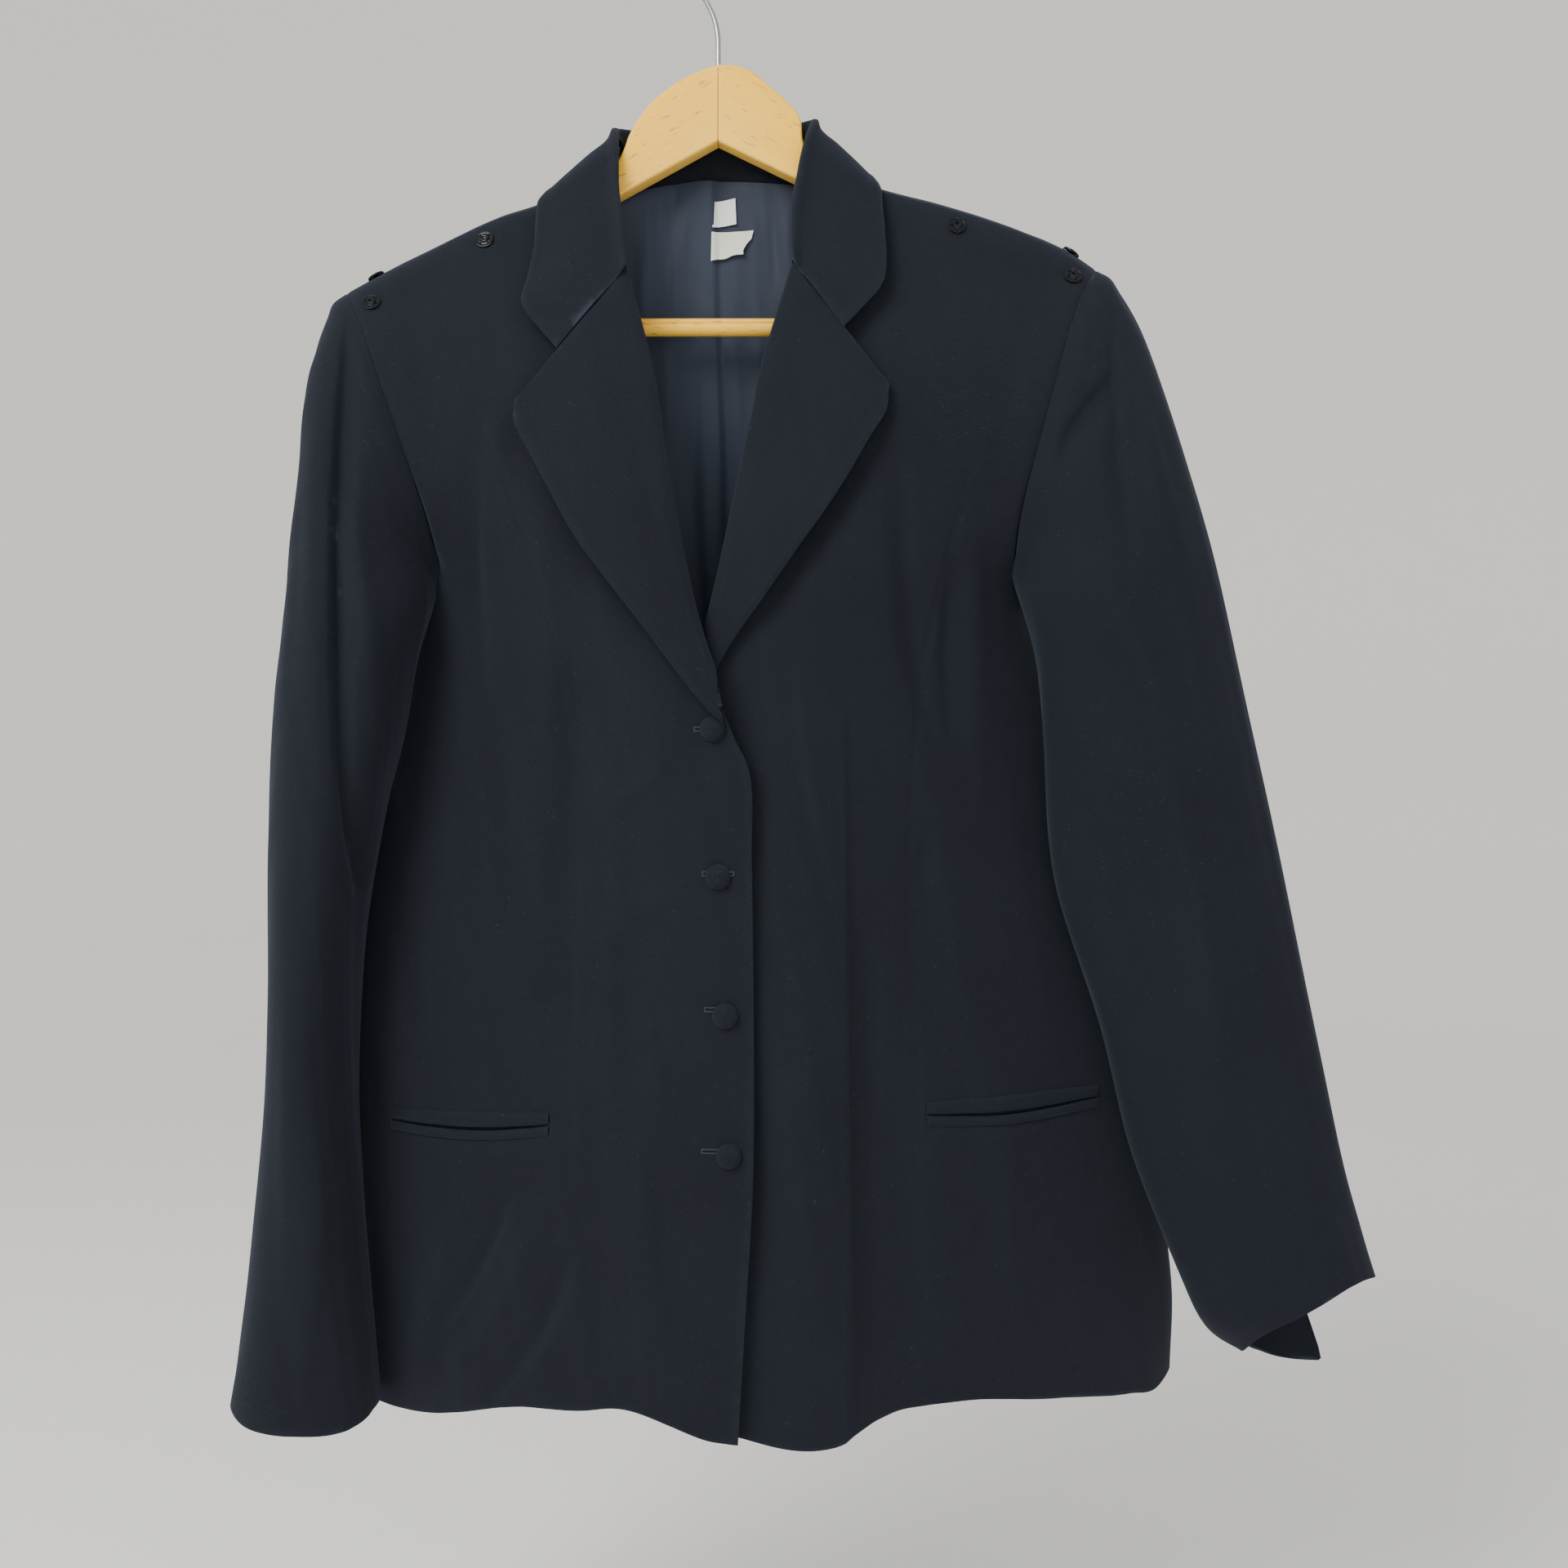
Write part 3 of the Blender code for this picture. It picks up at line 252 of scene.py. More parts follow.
# The free edge of each front: up the buttoned edge, the roll line under the lapel and the neck.
# A share runs from the hem to the shoulder seam. The right front lies over the left one
FRONT_EDGE = {
    "right": table("share x z depth", [
        (0.00, 7, -810, 74), (0.15, 11, -745, 72), (0.30, 15, -670, 69), (0.42, 15, -585, 65),
        (0.50, 14, -510, 62), (0.54, 13, -464, 61), (0.57, 4, -443, 60.5), (0.60, -6, -418, 60),
        (0.65, -13, -394, 57.5), (0.70, -20, -369, 54.5), (0.77, -30, -320, 50.5),
        (0.84, -39, -263, 42.5), (0.89, -48, -217, 35), (0.93, -57, -188, 28),
        (0.97, -61, -152, 16.5), (1.00, -69, -127, 9.8)]),
    "left": table("share x z depth", [
        (0.00, -14, -806, 66), (0.15, -15, -745, 65), (0.30, -16, -670, 62), (0.42, -16, -585, 58),
        (0.50, -17, -510, 54), (0.57, -18, -440, 49), (0.60, -18, -415, 47), (0.63, -12, -390, 46),
        (0.67, -3, -361, 45), (0.75, 7, -314, 43), (0.83, 17, -266, 37.5), (0.89, 26, -217, 30.5),
        (0.93, 38, -183, 24), (0.97, 39, -147, 15), (1.00, 49, -121, 9.8)]),
}
CHEST_SWELL = table("share swell", [(0, 0), (0.4, 0), (0.6, 4), (0.8, 6), (1.0, 0)])

# The hem's height, and how far up the panels its waves fade out
HEM_FADE_SHARE = 0.22
HEM = {
    "right": table("x z", [
        (-213, -815), (-166, -814), (-108, -802), (-80, -801), (-55, -798), (-29, -805),
        (-9, -812), (7, -814)]),
    "left": table("x z", [
        (-14, -809), (7, -813), (27, -818), (62, -818), (75, -812), (88, -806), (126, -801),
        (181, -805), (224, -810), (242, -811), (253, -803)]),
}
BACK_HEM = table("x z", [(-213, -815), (-120, -807), (0, -803), (130, -807), (210, -811), (253, -803)])

# The back's middle line, from the hem to the neck
BACK_MIDDLE = table("share x z y", [
    (0.0, 16, -803, 34), (0.2, 13, -660, 29), (0.4, 8, -520, 27), (0.6, 3, -380, 31),
    (0.8, -3, -240, 30), (0.92, -6, -160, 25), (1.0, -6, -124, 22)])

# The largest folds: soft lines as seen from the front, raised where the height is positive
FOLD_COLUMNS = "from_x from_z to_x to_z width height"
FRONT_FOLDS = {
    "right": table(FOLD_COLUMNS, [
        (-129, -259, -137, -421, 13, -4),
        (-137, -421, -123, -545, 12, -4),
        (-76, -345, -84, -530, 12, -4),
        (-39, -410, -40, -520, 14, 3),
        (-120, -685, -160, -765, 10, -3),
        (-80, -715, -128, -795, 10, -3)]),
    "left": table(FOLD_COLUMNS, [
        (40, -430, 42, -860, 22, 10),
        (88, -600, 90, -860, 13, -5),
        (95, -290, 108, -440, 11, -4),
        (122, -345, 124, -460, 10, -3),
        (108, -480, 100, -600, 11, -3),
        (150, -640, 172, -860, 20, 3)]),
}
BACK_FOLDS = table(FOLD_COLUMNS, [
    (-120, -240, -60, -330, 14, -3),
    (110, -235, 55, -330, 14, -3),
    (-70, -480, -85, -860, 20, 5),
    (75, -480, 95, -860, 20, 5),
    (5, -430, 14, -860, 14, -4),
    (-150, -400, -165, -640, 14, -4),
    (150, -400, 175, -640, 14, -4)])
SLEEVE_FOLDS = {
    "right": table(FOLD_COLUMNS, [
        (-209, -205, -212, -330, 12, -3),
        (-211, -330, -205, -470, 12, -3),
        (-205, -470, -194, -560, 12, -3)]),
    "left": table(FOLD_COLUMNS, [
        (219, -195, 222, -330, 8, -4),
        (181, -290, 212, -243, 9, -4),
        (235, -480, 262, -640, 14, 3)]),
}

# Lapels from the break above the top button to the gorge seam
LAPEL_COLUMNS = "roll_x roll_z roll_depth edge_x edge_z edge_depth"
LAPEL = {
    "right": table(LAPEL_COLUMNS, [
        (-4, -425, 64.5, -1, -437, 66),
        (-5, -409, 64, -9, -430, 68),
        (-10, -394, 62, -21, -416, 69),
        (-17, -369, 59, -38, -393, 68),
        (-27, -320, 55, -77, -342, 64),
        (-32, -290, 51, -94, -312, 60),
        (-36, -263, 47, -106, -290, 56),
        (-41, -238, 43, -113, -276, 53),
        (-54, -189, 34, -113, -265, 51)]),
    "left": table(LAPEL_COLUMNS, [
        (-13, -398, 50, -8, -414, 52),
        (-11, -382, 50, 2, -395, 53),
        (-6, -361, 50, 19, -371, 55),
        (-1, -338, 49, 37, -345, 55),
        (4, -314, 48, 52, -324, 54),
        (9, -290, 45.5, 65, -304, 52),
        (14, -266, 42.5, 77, -283, 49),
        (19, -240, 39, 86, -268, 46.5),
        (35, -185, 30, 87.5, -254, 43.5)]),
}

# Collar halves from the gorge to the middle of the back: the leaf's free edge, the fold, and the
# foot of the stand inside it
COLLAR_COLUMNS = "leaf_x leaf_y leaf_z fold_x fold_y fold_z foot_x foot_y foot_z"
COLLAR = {
    "right": table(COLLAR_COLUMNS, [
        (-91.5, -45, -234.5, -54.2, -35, -187.5, -56, -32, -188),
        (-102, -43, -222, -55.5, -31.5, -176, -57.5, -28.5, -177),
        (-111, -40, -209, -57, -27.5, -163, -59, -24.5, -164.5),
        (-109, -34, -194, -58.5, -23.5, -150, -60.5, -20.5, -152),
        (-106, -27, -175, -60, -18.5, -137, -62, -15.5, -139),
        (-106, -20.5, -158, -60.5, -14, -124, -62, -11, -126),
        (-105.5, -14, -145, -61, -10, -112, -62.5, -7.5, -114),
        (-101, -1, -137, -62, -3, -102, -62, 0, -106),
        (-92, 17, -141, -62, 8.5, -97, -60, 8, -107),
        (-70, 27, -142, -54, 16, -95, -54, 13.5, -130),
        (-40, 32.5, -139, -32, 20.5, -94, -32, 18, -126),
        (-6, 34.5, -137, -6, 22.5, -93, -6, 20, -123)]),
    "left": table(COLLAR_COLUMNS, [
        (63.5, -41, -221.5, 35.2, -31.5, -183.5, 37, -28.5, -184.5),
        (74, -39, -210, 34.5, -28.5, -172, 36.5, -25.5, -173.5),
        (84.5, -36, -197, 34.5, -25, -160, 36.5, -22, -161.5),
        (87, -31, -183, 35, -21.5, -147, 37, -18.5, -149),
        (86.5, -25.5, -166, 37.5, -18, -134, 39.5, -15, -136),
        (85.5, -20, -151, 40, -14, -120, 41.5, -11, -122),
        (85, -14, -138.5, 43, -10, -107, 44.5, -7.5, -109),
        (81.5, -1, -129.5, 46, -3, -97, 46, 0, -101),
        (73, 17, -134, 46, 8.5, -92, 44, 8, -102),
        (54, 27, -139, 38, 16, -91, 38, 13.5, -125),
        (26, 32.5, -138, 18, 20.5, -92, 18, 18, -124),
        (-6, 34.5, -137, -6, 22.5, -93, -6, 20, -123)]),
}

# Pockets: the mouth's two ends, from the side seam inwards, and the height of its two jets. The
# mouth is open by twice its half gap, its edges sag, and the front lies deeper behind it
POCKET = {"right": ((-187, -655.5), (-95, -651.5)), "left": ((206, -643.5), (108, -647.5))}
JET_HEIGHT = {"upper": 5.6, "lower": 4.8}
MOUTH_HALF_GAP, MOUTH_DEPTH, MOUTH_REACH = 0.6, 2.6, 5.0
MOUTH_SAG = {"upper": 2.4, "lower": 3.2}

BUTTON_AT = ((-7, -440), (-4, -518), (0, -591), (2, -664))

# Hanger arms from the mitre to the tip: the upper edge, and the straight lower edge
MITRE_X = -6.0
ARM_TOP = {
    "right": table("x z", [
        (-6.2, -66), (-17, -70), (-29, -76), (-43, -87), (-51, -97), (-56, -106), (-58.5, -113),
        (-64, -123), (-71, -129), (-89, -139.4), (-129, -155.2), (-167, -172.9), (-198, -188.6),
        (-206, -193.6)]),
    "left": table("x z", [
        (-5.8, -66), (4, -66.6), (11.5, -69), (18, -73.5), (24.5, -79.5), (31, -85), (37, -91),
        (40.5, -97.5), (41.5, -108), (45, -118), (52, -124), (82, -137.7), (123, -149),
        (165, -162.9), (190, -174.3), (199, -180)]),
}
ARM_FOOT_AT_MITRE = -109.0
ARM_SLOPE = {"right": 0.556, "left": 0.485}
print("sleeve rings:", {side: len(SLEEVE[side]["outer_x"]) for side in SIDES})

# %% [markdown]
# ## Folds
# Hanging wool falls in long soft folds, and each is drawn: a line on the panel as seen from the front, how far
# it bows to one side, its width and height, and how much it leans, which makes one flank steeper. A slow
# ripple, the same on every run, keeps the cloth between them from looking pressed flat.

# %% Fold heights
CREASE_COLUMNS = "from_x from_z to_x to_z bow width height lean"


def fold_heights(x, z, folds):
    """The largest folds, which the solids have too."""
    raised = np.zeros(np.broadcast(x, z).shape)
    for x0, z0, x1, z1, width, height in zip(*(folds[name] for name in FOLD_COLUMNS.split())):
        length = math.hypot(x1 - x0, z1 - z0)
        share = np.clip(((x - x0) * (x1 - x0) + (z - z0) * (z1 - z0)) / length**2, 0, 1)
        away = np.hypot(x - x0 - share * (x1 - x0), z - z0 - share * (z1 - z0))
        strength = np.sin(np.pi * (0.08 + 0.84 * share))
        raised += height * strength * bell(away, width)
    return raised


def crease_heights(x, z, creases):
    """Finer folds, bowed and leaning, that die away softly at both ends."""
    raised = np.zeros(np.broadcast(x, z).shape)
    for x0, z0, x1, z1, bow, width, height, lean in zip(*(creases[n] for n in CREASE_COLUMNS.split())):
        length = math.hypot(x1 - x0, z1 - z0)
        ahead_x, ahead_z = (x1 - x0) / length, (z1 - z0) / length
        share = ((x - x0) * ahead_x + (z - z0) * ahead_z) / length
        inside = np.clip(share, 0, 1)
        aside = (x - x0) * ahead_z - (z - z0) * ahead_x - bow * 4 * inside * (1 - inside)
        past = np.maximum(np.maximum(-share, share - 1), 0) * length
        flank = width * np.where(aside > 0, 1 + lean, 1 - lean)
        strength = np.sin(np.pi * (0.1 + 0.8 * inside)) * bell(past, width)
        raised += height * strength * bell(aside, flank)
    return raised


def ripple(x, z, height, seed):
    """A slow uneven swell of hanging cloth, longer down the cloth than across it."""
    waves = np.zeros(np.broadcast(x, z).shape)
    for k, (across, down) in enumerate(((61, 210), (37, 170), (23, 120), (49, -260), (15, 90))):
        phase = seed * 1.7 + k * 2.3
        waves += np.sin(2 * math.pi * (x / across + z / down) + phase) / (k + 1.5)
    return height * waves


print("a 4 mm crease, 5 mm from its middle:",
      crease_heights(np.array([5.0]), np.array([50.0]), table(CREASE_COLUMNS, [(0, 0, 0, 100, 0, 10, 4, 0)])))

# %% [markdown]
# ## The panels' shapes
# A sleeve is a stack of rings from the armhole to the cuff. A front or the back starts at its side
# seam and armhole, shares that line with its neighbour, and swells across to its free edge or its
# middle. The same rules shape the solids; here they are read at many more places.

# %% Sleeve rings and shared seams
SEAM_GAP = 0.06
RING_SQUARENESS = 2.2
# The open end hangs lower behind, from a corner this far across to the inner end
CUFF_CORNER, CUFF_CORNER_TURN, CUFF_DROP_CURVE = 0.14, 0.24, 0.55
SIDE_TURN = 1.6
UNDERARM_SHARE = 0.6
SHOULDER_SEAM_ANGLE = math.radians(14)
BACK_ARC_SHARE = 0.775
NECK_SHARE = 0.66
SHOULDER_BLEND = 0.2
SHOULDER_FADE = 0.7
FOLD_FADE = 6.0
SHOULDER_ACROSS = unit(np.array([0.0, -1.0, -1.0]))


def sleeve_ring(side, station, angles):
    """Rings of a sleeve. Angle 0 is the outer end, a quarter turn the front, half the inner end."""
    rows = SLEEVE[side]
    stations = np.arange(len(rows["outer_x"]))
    row = {name: along(stations, rows[name], station) for name in SLEEVE_COLUMNS.split()}
    middle_x = (row["outer_x"] + row["inner_x"]) / 2
    middle_z = (row["outer_z"] + row["inner_z"]) / 2
    reach_x, reach_z = row["outer_x"] - middle_x, row["outer_z"] - middle_z
    length = np.hypot(reach_x, reach_z)
    up_x, up_z = -SIGN[side] * reach_z / length, SIGN[side] * reach_x / length
    power = 2 / RING_SQUARENESS
    across = np.sign(np.cos(angles)) * np.abs(np.cos(angles)) ** power
    forward = np.sign(np.sin(angles)) * np.abs(np.sin(angles)) ** power
    bow = np.where(forward > 0, row["front_bow"], row["back_bow"]) * (1 - (1 - forward**2) ** 2)
    low = np.clip((CUFF_CORNER - across) / CUFF_CORNER_TURN, 0, 1)
    low = low * low * (3 - 2 * low) * np.maximum(1 + across, 0) ** CUFF_DROP_CURVE
    bow = np.where((forward < 0) & (bow < 0), bow * low, bow)
    return np.stack([
        middle_x + reach_x * across + up_x * bow,
        row["middle_y"] - row["half_depth"] * forward,
        middle_z + reach_z * across + up_z * bow], axis=-1)


def armhole_across(side):
    """The unit direction across the armhole seam, from the body into the sleeve."""
    rows = SLEEVE[side]
    reach_x = rows["outer_x"][0] - rows["inner_x"][0]
    reach_z = rows["outer_z"][0] - rows["inner_z"][0]
    return unit(np.array([SIGN[side] * reach_z, 0, -SIGN[side] * reach_x]))


def panel_border(side, facing, side_cells, arc):
    """Up the side seam, then round the armhole. Facing is 1 for a front and -1 for the back."""
    seam = SIDE_SEAM[side]
    z = np.linspace(seam["z"][0], seam["z"][-1], side_cells + 1)
    x, y = read(seam, "z", "x", z), read(seam, "z", "y", z) - facing * SEAM_GAP / 2
    line = np.stack([x, y, z], axis=-1)
    line[-1] -= armhole_across(side) * SEAM_GAP / 2
    angles = facing * (math.pi + (facing * SHOULDER_SEAM_ANGLE - math.pi) * arc)
    return np.concatenate([line, sleeve_ring(side, 0, angles) - armhole_across(side) * SEAM_GAP / 2])


def shoulder_row(side, y, drop, edge, share):
    """A row of points over the shoulder, from a point of the armhole to the neck."""
    ridge = RIDGE[side]
    order = np.argsort(ridge["x"])
    neck_x = ridge["x"][-1] if side == "right" else ridge["x"][0]
    own = 1 - np.clip(share / SHOULDER_BLEND, 0, 1)
    x = edge[0] + (neck_x - edge[0]) * share
    top = along(ridge["x"][order], ridge["z"][order], x)
    return np.stack([x, y + own * (edge[1] - y), top - drop + own * (edge[2] - top[0] + drop)], axis=-1)


print("the right armhole is", round(float(np.hypot(215 - 163, 343 - 194))), "mm tall")

# %% Front panels
FRONT_ACROSS, FRONT_SIDE_UP, FRONT_ARMHOLE_UP = 150, 190, 64


def front_surface(side):
    """Outer points of a front panel, from its side to its free edge, hem to shoulder."""
    t = np.linspace(0, 1, FRONT_ACROSS + 1)
    across = 1 - np.cos(t * math.pi / 2)
    arc = np.linspace(0, 1, FRONT_ARMHOLE_UP + 1)[1:]
    shares = np.concatenate([
        np.linspace(0, UNDERARM_SHARE, FRONT_SIDE_UP + 1), UNDERARM_SHARE + (1 - UNDERARM_SHARE) * arc])
    above = np.clip((shares - UNDERARM_SHARE) / (1 - UNDERARM_SHARE), 0, 1)
    outer = panel_border(side, 1, FRONT_SIDE_UP, arc)
    edge = FRONT_EDGE[side]
    free = np.stack([
        read(edge, "share", "x", shares), -read(edge, "share", "depth", shares),
        read(edge, "share", "z", shares)], axis=-1)
    s = across[:, None]
    x = outer[:, 0] + (free[:, 0] - outer[:, 0]) * s
    z = outer[:, 2] + (free[:, 2] - outer[:, 2]) * s
    upper = np.clip(above * 4 / 3, 0, 1)
    turn = SIDE_TURN - (SIDE_TURN - 1) * upper**2 * (3 - 2 * upper)
    fullness = (1 - (1 - s) ** turn) ** (1 / turn)
    y = outer[:, 1] + (free[:, 1] - outer[:, 1]) * fullness
    y -= read(CHEST_SWELL, "share", "swell", shares) * np.sin(np.pi * s)
    hem_share = np.clip(1 - shares / HEM_FADE_SHARE, 0, 1) ** 2
    z += hem_share * (along(HEM[side]["x"], HEM[side]["z"], x) - z[:, :1])
    y -= fold_heights(x, z, FRONT_FOLDS[side]) * np.clip(s * FOLD_FADE, 0, 1)
    points = np.stack([x, y, z], axis=-1)
    seam_shares = 1 - np.cos(np.linspace(0, 1, 9) * math.pi / 2)
    thirteen = np.sort(np.concatenate([seam_shares, (seam_shares[5:] + seam_shares[4:-1]) / 2]))
    top = shoulder_row(side, RIDGE_PROFILE["y"][-1], RIDGE_PROFILE["drop"][-1], outer[-1],
                       along(np.linspace(0, 1, 13), thirteen, t)) + SHOULDER_ACROSS * SEAM_GAP
    return points + (above**3)[:, None] * (top - points[:, -1])[:, None]


def settled(points, rounds=260, margin=26):
    """Evens out, along the cloth, a sharp turn of its border, but not near any of its edges."""
    soft = points.copy()
    for _ in range(rounds):
        soft[:, 1:-1] = (soft[:, :-2] + 2 * soft[:, 1:-1] + soft[:, 2:]) / 4
    across, down = arc_lengths(points, 0), arc_lengths(points, 1)
    inside = np.minimum(np.minimum(across, across[-1] - across), np.minimum(down, down[:, -1:] - down))
    share = fade(inside, margin)[..., None]
    return points + (soft - points) * share * share * (3 - 2 * share)


fronts_drawn = {side: settled(front_surface(side)) for side in SIDES}
for side in SIDES:
    low, high = fronts_drawn[side].min(axis=(0, 1)), fronts_drawn[side].max(axis=(0, 1))
    print(f"front {side}: {high[0] - low[0]:.0f} mm wide, {high[2] - low[2]:.0f} mm tall")

# %% Back
BACK_SIDE_UP, BACK_ARMHOLE_UP, BACK_OVER = 84, 30, 24
BACK_ACROSS_SHOULDER, BACK_ACROSS_NECK = 64, 34
BACK_UP = BACK_SIDE_UP + BACK_ARMHOLE_UP


def back_half(side):
    """Outer points of half the back, from its side to the middle, hem to shoulder."""
    shoulder = 1 - np.cos(np.linspace(0, 1, BACK_ACROSS_SHOULDER + 1) * math.pi / 2)
    neck = np.linspace(0, 1, BACK_ACROSS_NECK + 1)[1:]
    s = np.concatenate([shoulder * NECK_SHARE, NECK_SHARE + neck * (1 - NECK_SHARE)])[:, None]
    on_shoulder = np.clip(s / NECK_SHARE, 0, 1)
    past = np.clip((s - NECK_SHARE) / (1 - NECK_SHARE), 0, 1)
    rows = np.arange(len(RIDGE_PROFILE["y"]))
    over = np.linspace(0, rows[-1], BACK_OVER + 1)[1:]
    arc = np.concatenate([
        np.linspace(0, BACK_ARC_SHARE, BACK_ARMHOLE_UP + 1)[1:],
        BACK_ARC_SHARE + (1 - BACK_ARC_SHARE) * over / rows[-1]])
    shares = np.concatenate([
        np.linspace(0, UNDERARM_SHARE, BACK_SIDE_UP + 1),
        np.linspace(UNDERARM_SHARE, 1, BACK_ARMHOLE_UP + 1)[1:]])
    outer = panel_border(side, -1, BACK_SIDE_UP, arc)
    body = outer[:BACK_UP + 1]
    mx, my, mz = (read(BACK_MIDDLE, "share", name, shares) for name in ("x", "y", "z"))
    fullness = (1 - (1 - s) ** SIDE_TURN) ** (1 / SIDE_TURN)
    x = body[:, 0] + (mx - body[:, 0]) * s
    y = body[:, 1] + (my - body[:, 1]) * fullness
    z = body[:, 2] + (mz - body[:, 2]) * s
    hem_share = np.clip(1 - shares / HEM_FADE_SHARE, 0, 1) ** 2
    z = z + hem_share * (along(BACK_HEM["x"], BACK_HEM["z"], x) - z[:, :1])
    y = y + fold_heights(x, z, BACK_FOLDS) * np.clip(s * FOLD_FADE, 0, 1)
    lower = np.stack([x, y, z], axis=-1)
    profile_y, profile_drop = (along(rows, RIDGE_PROFILE[name], np.concatenate([[0], over]))
                               for name in ("y", "drop"))
    top = shoulder_row(side, profile_y[0], profile_drop[0], body[-1], on_shoulder[:, 0])
    middle = np.array([mx[-1], my[-1], mz[-1]])
    rise = np.stack([past[:, 0], *[np.sin(past[:, 0] * math.pi / 2)] * 2], axis=-1)
    top = top + (middle - top[-1]) * rise
    near_top = np.clip((shares - SHOULDER_FADE) / (1 - SHOULDER_FADE), 0, 1) ** 2
    lower = lower + near_top[:, None] * (top - lower[:, -1])[:, None]
    ridge_rows = []
    for k in range(1, BACK_OVER + 1):
        row = shoulder_row(side, profile_y[k], profile_drop[k], outer[BACK_UP + k], on_shoulder[:, 0])
        onward = lower[:, -1] + k * (lower[:, -1] - lower[:, -2])
        ridge_rows.append(np.where(past > 0, onward, row))
    return np.concatenate([lower, np.stack(ridge_rows, axis=1)], axis=1)


right_half, left_half = back_half("right"), back_half("left")
back_drawn = np.concatenate([right_half, left_half[-2::-1]], axis=0)
back_cells = np.ones((back_drawn.shape[0] - 1, back_drawn.shape[1] - 1), bool)
back_cells[BACK_ACROSS_SHOULDER:back_drawn.shape[0] - 1 - BACK_ACROSS_SHOULDER, BACK_UP:] = False
print("the back is drawn through", int(back_cells.sum()), "cells")

# %% [markdown]
# ## From points to cloth
# A grid of points becomes one mesh with a UV map in metres, so a weave keeps its size. Solidify
# gives the sheet its wall, inwards, and a small bevel rounds the turned edges, as pressed wool
# has no sharp corner.

# %% Cloth maker
CLOTH_WALL = 1.8
EDGE_ROUNDING = 0.55


def grid_normals(points, closed=False):
    """Unit normals of a grid of points; a closed grid joins its last column to its first."""
    if closed:
        du = np.roll(points, -1, axis=0) - np.roll(points, 1, axis=0)
    else:
        du = np.gradient(points, axis=0)
    return unit(np.cross(du, np.gradient(points, axis=1)))


def new_object(name, data):
    """An object for a mesh or a curve, in the scene, and the only one selected."""
    made = bpy.data.objects.new(name, data)
    bpy.context.scene.collection.objects.link(made)
    pick(made)
    return made


def pick(made):
    """Selects one object alone and makes it active."""
    bpy.ops.object.select_all(action="DESELECT")
    made.select_set(True)
    bpy.context.view_layer.objects.active = made


def hand_over(made, node=None):
    """Puts a finished piece on the body and in the place of its CAD node."""
    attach(made, "root")
    if node:
        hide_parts(node)


def rounded(width, degrees, segments=2):
    """A bevel for the edges that turn by more than an angle."""
    return ("BEVEL", {"width": width * MM, "segments": segments, "limit_method": "ANGLE",
                      "angle_limit": math.radians(degrees)})


def finish_modifiers(made, *settings):
    """Adds modifiers with their settings and applies them."""
    pick(made)
    for kind, values in settings:
        modifier = made.modifiers.new(kind.lower(), kind)
        for name, value in values.items():
            setattr(modifier, name, value)
        bpy.ops.object.modifier_apply(modifier=modifier.name)


def cloth_piece(name, node, points, finish, wall=CLOTH_WALL, closed=False, cells=None, inward=1,
                rounding=EDGE_ROUNDING):
    """One sheet through a grid of points in millimetres, thickened inwards and rounded."""
    nu, nv = points.shape[:2]
    if cells is None:
        cells = np.ones((nu if closed else nu - 1, nv - 1), bool)
    across, down = arc_lengths(points, 0, closed), arc_lengths(points, 1)
    faces, corners_uv = [], []
    for u, v in np.argwhere(cells).tolist():
        corners = [(u, v), (u + 1, v), (u + 1, v + 1), (u, v + 1)]
        if inward < 0:
            corners.reverse()
        faces.append([(a % nu) * nv + b for a, b in corners])
        corners_uv += [(across[a, b] * MM, down[a % nu, b] * MM) for a, b in corners]
    used = np.unique(np.array(faces))
    place = np.zeros(nu * nv, int)
    place[used] = np.arange(len(used))
    mesh = bpy.data.meshes.new(name)
    mesh.from_pydata((points.reshape(-1, 3)[used] * MM).tolist(), [], place[np.array(faces)].tolist())
    layer = mesh.uv_layers.new(name="cloth")
    layer.data.foreach_set("uv", np.array(corners_uv, "f").ravel())
    mesh.materials.append(finish)
    made = new_object(name, mesh)
    finish_modifiers(made, ("SOLIDIFY", {"thickness": wall * MM, "offset": -1}), rounded(rounding, 55))
    made.data.shade_smooth()
    hand_over(made, node)
    print(name, len(made.data.polygons), "faces, cut", round(area_of(points, closed, cells), 5), "m2,",
          f"{across[-1].max():.0f} by {down[:, -1].max():.0f} mm")


def area_of(points, closed=False, cells=None):
    """Area of a drawn sheet in square metres."""
    if closed:
        points = np.concatenate([points, points[:1]])
    first = np.cross(points[1:, :-1] - points[:-1, :-1], points[1:, 1:] - points[:-1, :-1])
    second = np.cross(points[1:, 1:] - points[:-1, :-1], points[:-1, 1:] - points[:-1, :-1])
    areas = (np.linalg.norm(first, axis=-1) + np.linalg.norm(second, axis=-1)) / 2
    return float((areas if cells is None else areas[cells]).sum()) * MM * MM


print("front right:", round(area_of(fronts_drawn["right"]), 4), "square metres drawn")

# %% [markdown]
# ## Finishes
# The jacket is a matt navy wool blend in a fine twill. The weave, the soft uneven tone of the nap
# and a few specks of lint are shader groups, so the cloth of every piece and the covered buttons
# share them. The groups only put out numbers and masks; the shader stays in each material.

# %% Shader groups
def new_group(name, inputs, outputs):
    """A shader group with float or vector inputs and float outputs."""
    group = bpy.data.node_groups.new(name, "ShaderNodeTree")
    for label, (kind, value) in inputs.items():
        socket = group.interface.new_socket(name=label, in_out="INPUT", socket_type=kind)
        if value is not None:
            socket.default_value = value
    for label in outputs:
        group.interface.new_socket(name=label, in_out="OUTPUT", socket_type="NodeSocketFloat")
    return group, group.nodes.new("NodeGroupInput"), group.nodes.new("NodeGroupOutput")


